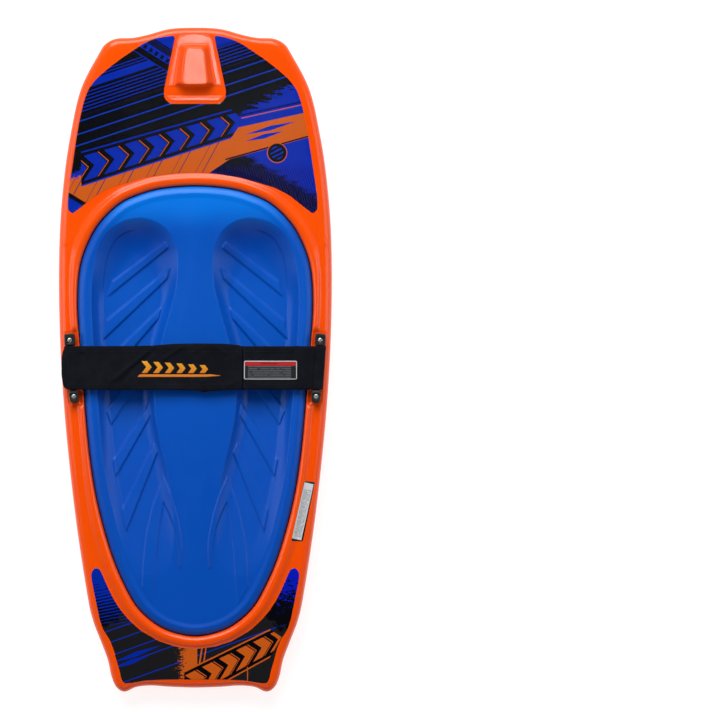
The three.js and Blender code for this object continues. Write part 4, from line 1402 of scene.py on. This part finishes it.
BADGE_XS, BADGE_LOW = (-114, 52), -33
CAUTION_XS, CAUTION_YS = (97.5, 202.5), (-38, -1)


def badge_shapes():
    """A generic mark: a row of solid chevrons that get smaller, over one long tapered bar."""
    (left, right), low = BADGE_XS, BADGE_LOW
    bar_top = low + 5
    count, width = 6, 11
    bar = [(left, low), (left + 5, bar_top), (right - 20, bar_top), (right, low + 2.4), (right - 30, low)]
    shapes = [bar]
    for k in range(count):
        half = lerp(12, 8, k / (count - 1))
        middle = bar_top + 2.5 + half
        x = left + 8 + k * 23
        shapes.append([(x, middle + half), (x + width, middle + half), (x + width + half * 0.8, middle),
                       (x + width, middle - half), (x, middle - half), (x + half * 0.8, middle)])
    return [rounded_corners(shape, 0.9, 4) for shape in shapes]


label_outline = rounded_corners(rectangle(CAUTION_XS, CAUTION_YS), 1.5)
laid_on(flap_top, 0.25, PRINT_RISE, "strap_mark", badge_shapes(), 1.4, gold_print(),
        body="flap", replaces=["strap_badge"], slot="gold_print")
laid_on(cover_top, 0.3, PRINT_RISE, "strap_label", [label_outline], 2.6, caution_art(),
        body="strap", replaces=["caution_label"], slot="red_print")

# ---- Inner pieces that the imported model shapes: new materials only ----

INNER = {
    "foam_core": granular("core_foam", (226, 214, 172), (204, 188, 140), 1.4, 0.5, 0.85),
    "fill_plug": granular("plug_plastic", (84, 86, 90), (104, 106, 110), 0.8, 0.08, 0.5),
    "insert": brass(),
}
for name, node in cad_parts.items():
    for start, material in INNER.items():
        if name.startswith(start):
            node.data.materials.clear()
            node.data.materials.append(material)

# ---- Floor, light and camera ----


def floor(half, height, material):
    corners = at_height(rectangle((-half, half), (-half, half)), height)
    new_piece("studio_floor", corners, [(3, 2, 1, 0)], material, body=None)


def area_light(name, place, size, power, lit=None):
    """A soft box aimed at the object's middle, in metres. With lit, it lights that one piece only."""
    data = bpy.data.lights.new(name, "AREA")
    data.shape = "RECTANGLE"
    data.size, data.size_y = size
    data.energy = power
    light = bpy.data.objects.new(name, data)
    bpy.context.scene.collection.objects.link(light)
    light.location = place
    light.rotation_euler = Vector(place).to_track_quat("Z", "Y").to_euler()
    if lit:
        receivers = bpy.data.collections.new(name + "_receivers")
        receivers.objects.link(lit)
        light.light_linking.receiver_collection = receivers


def studio_sky(horizon, overhead, edge, soft):
    """A world that is bright towards the horizon and dark overhead, where the deck would mirror it."""
    world = bpy.data.worlds.new("studio")
    world.use_nodes = True
    tree = world.node_tree
    ahead = node_field(tree, "ShaderNodeTexCoord", "Generated", {})
    up = node_field(tree, "ShaderNodeSeparateXYZ", "Z", {0: ahead})
    strength = up.below(edge, soft) * (horizon - overhead) + overhead
    background = tree.nodes["Background"]
    background.inputs["Color"].default_value = (1, 1, 1, 1)
    tree.links.new(strength.socket, background.inputs["Strength"])
    return world


scene = bpy.context.scene
scene.view_settings.view_transform = "Standard"
floor_material = Material("studio_floor", (150, 150, 150), 0.9, Specular_IOR_Level=0.0,
                          Emission_Color=(1, 1, 1, 1), Emission_Strength=0.84)
floor(half=30000, height=-0.5, material=floor_material.data)
scene.world = studio_sky(horizon=0.27, overhead=0.005, edge=0.68, soft=0.15)
area_light("key", (-0.7, 4.7, 4.7), (5.5, 4.5), 490)
area_light("left", (-3.6, 0.3, 2.4), (1.4, 3.6), 34)
area_light("right", (3.6, 0.3, 2.4), (1.4, 3.6), 28)
area_light("rear", (0.2, -4.0, 3.0), (2.4, 1.0), 8)
area_light("hook_sheen", (0.12, -0.8, 8), (0.7, 0.2), 60, lit=hook)
area_light("film_sheen", (0.3, -1.02, 8), (0.7, 0.3), 3.5, lit=nose_decal)

CAMERA_X, CAMERA_Y, CAMERA_HEIGHT = 0.3276, -0.0014, 12.0
FRAME_SIDE = 1.435  # metres seen along the picture's long side, at the deck
data = bpy.data.cameras.new("camera")
data.sensor_width = 36
data.lens = data.sensor_width * (CAMERA_HEIGHT - DECK_HEIGHT * MM) / FRAME_SIDE
data.clip_end = 100
camera = bpy.data.objects.new("camera", data)
camera.location = (CAMERA_X, CAMERA_Y, CAMERA_HEIGHT)
scene.collection.objects.link(camera)
scene.camera = camera
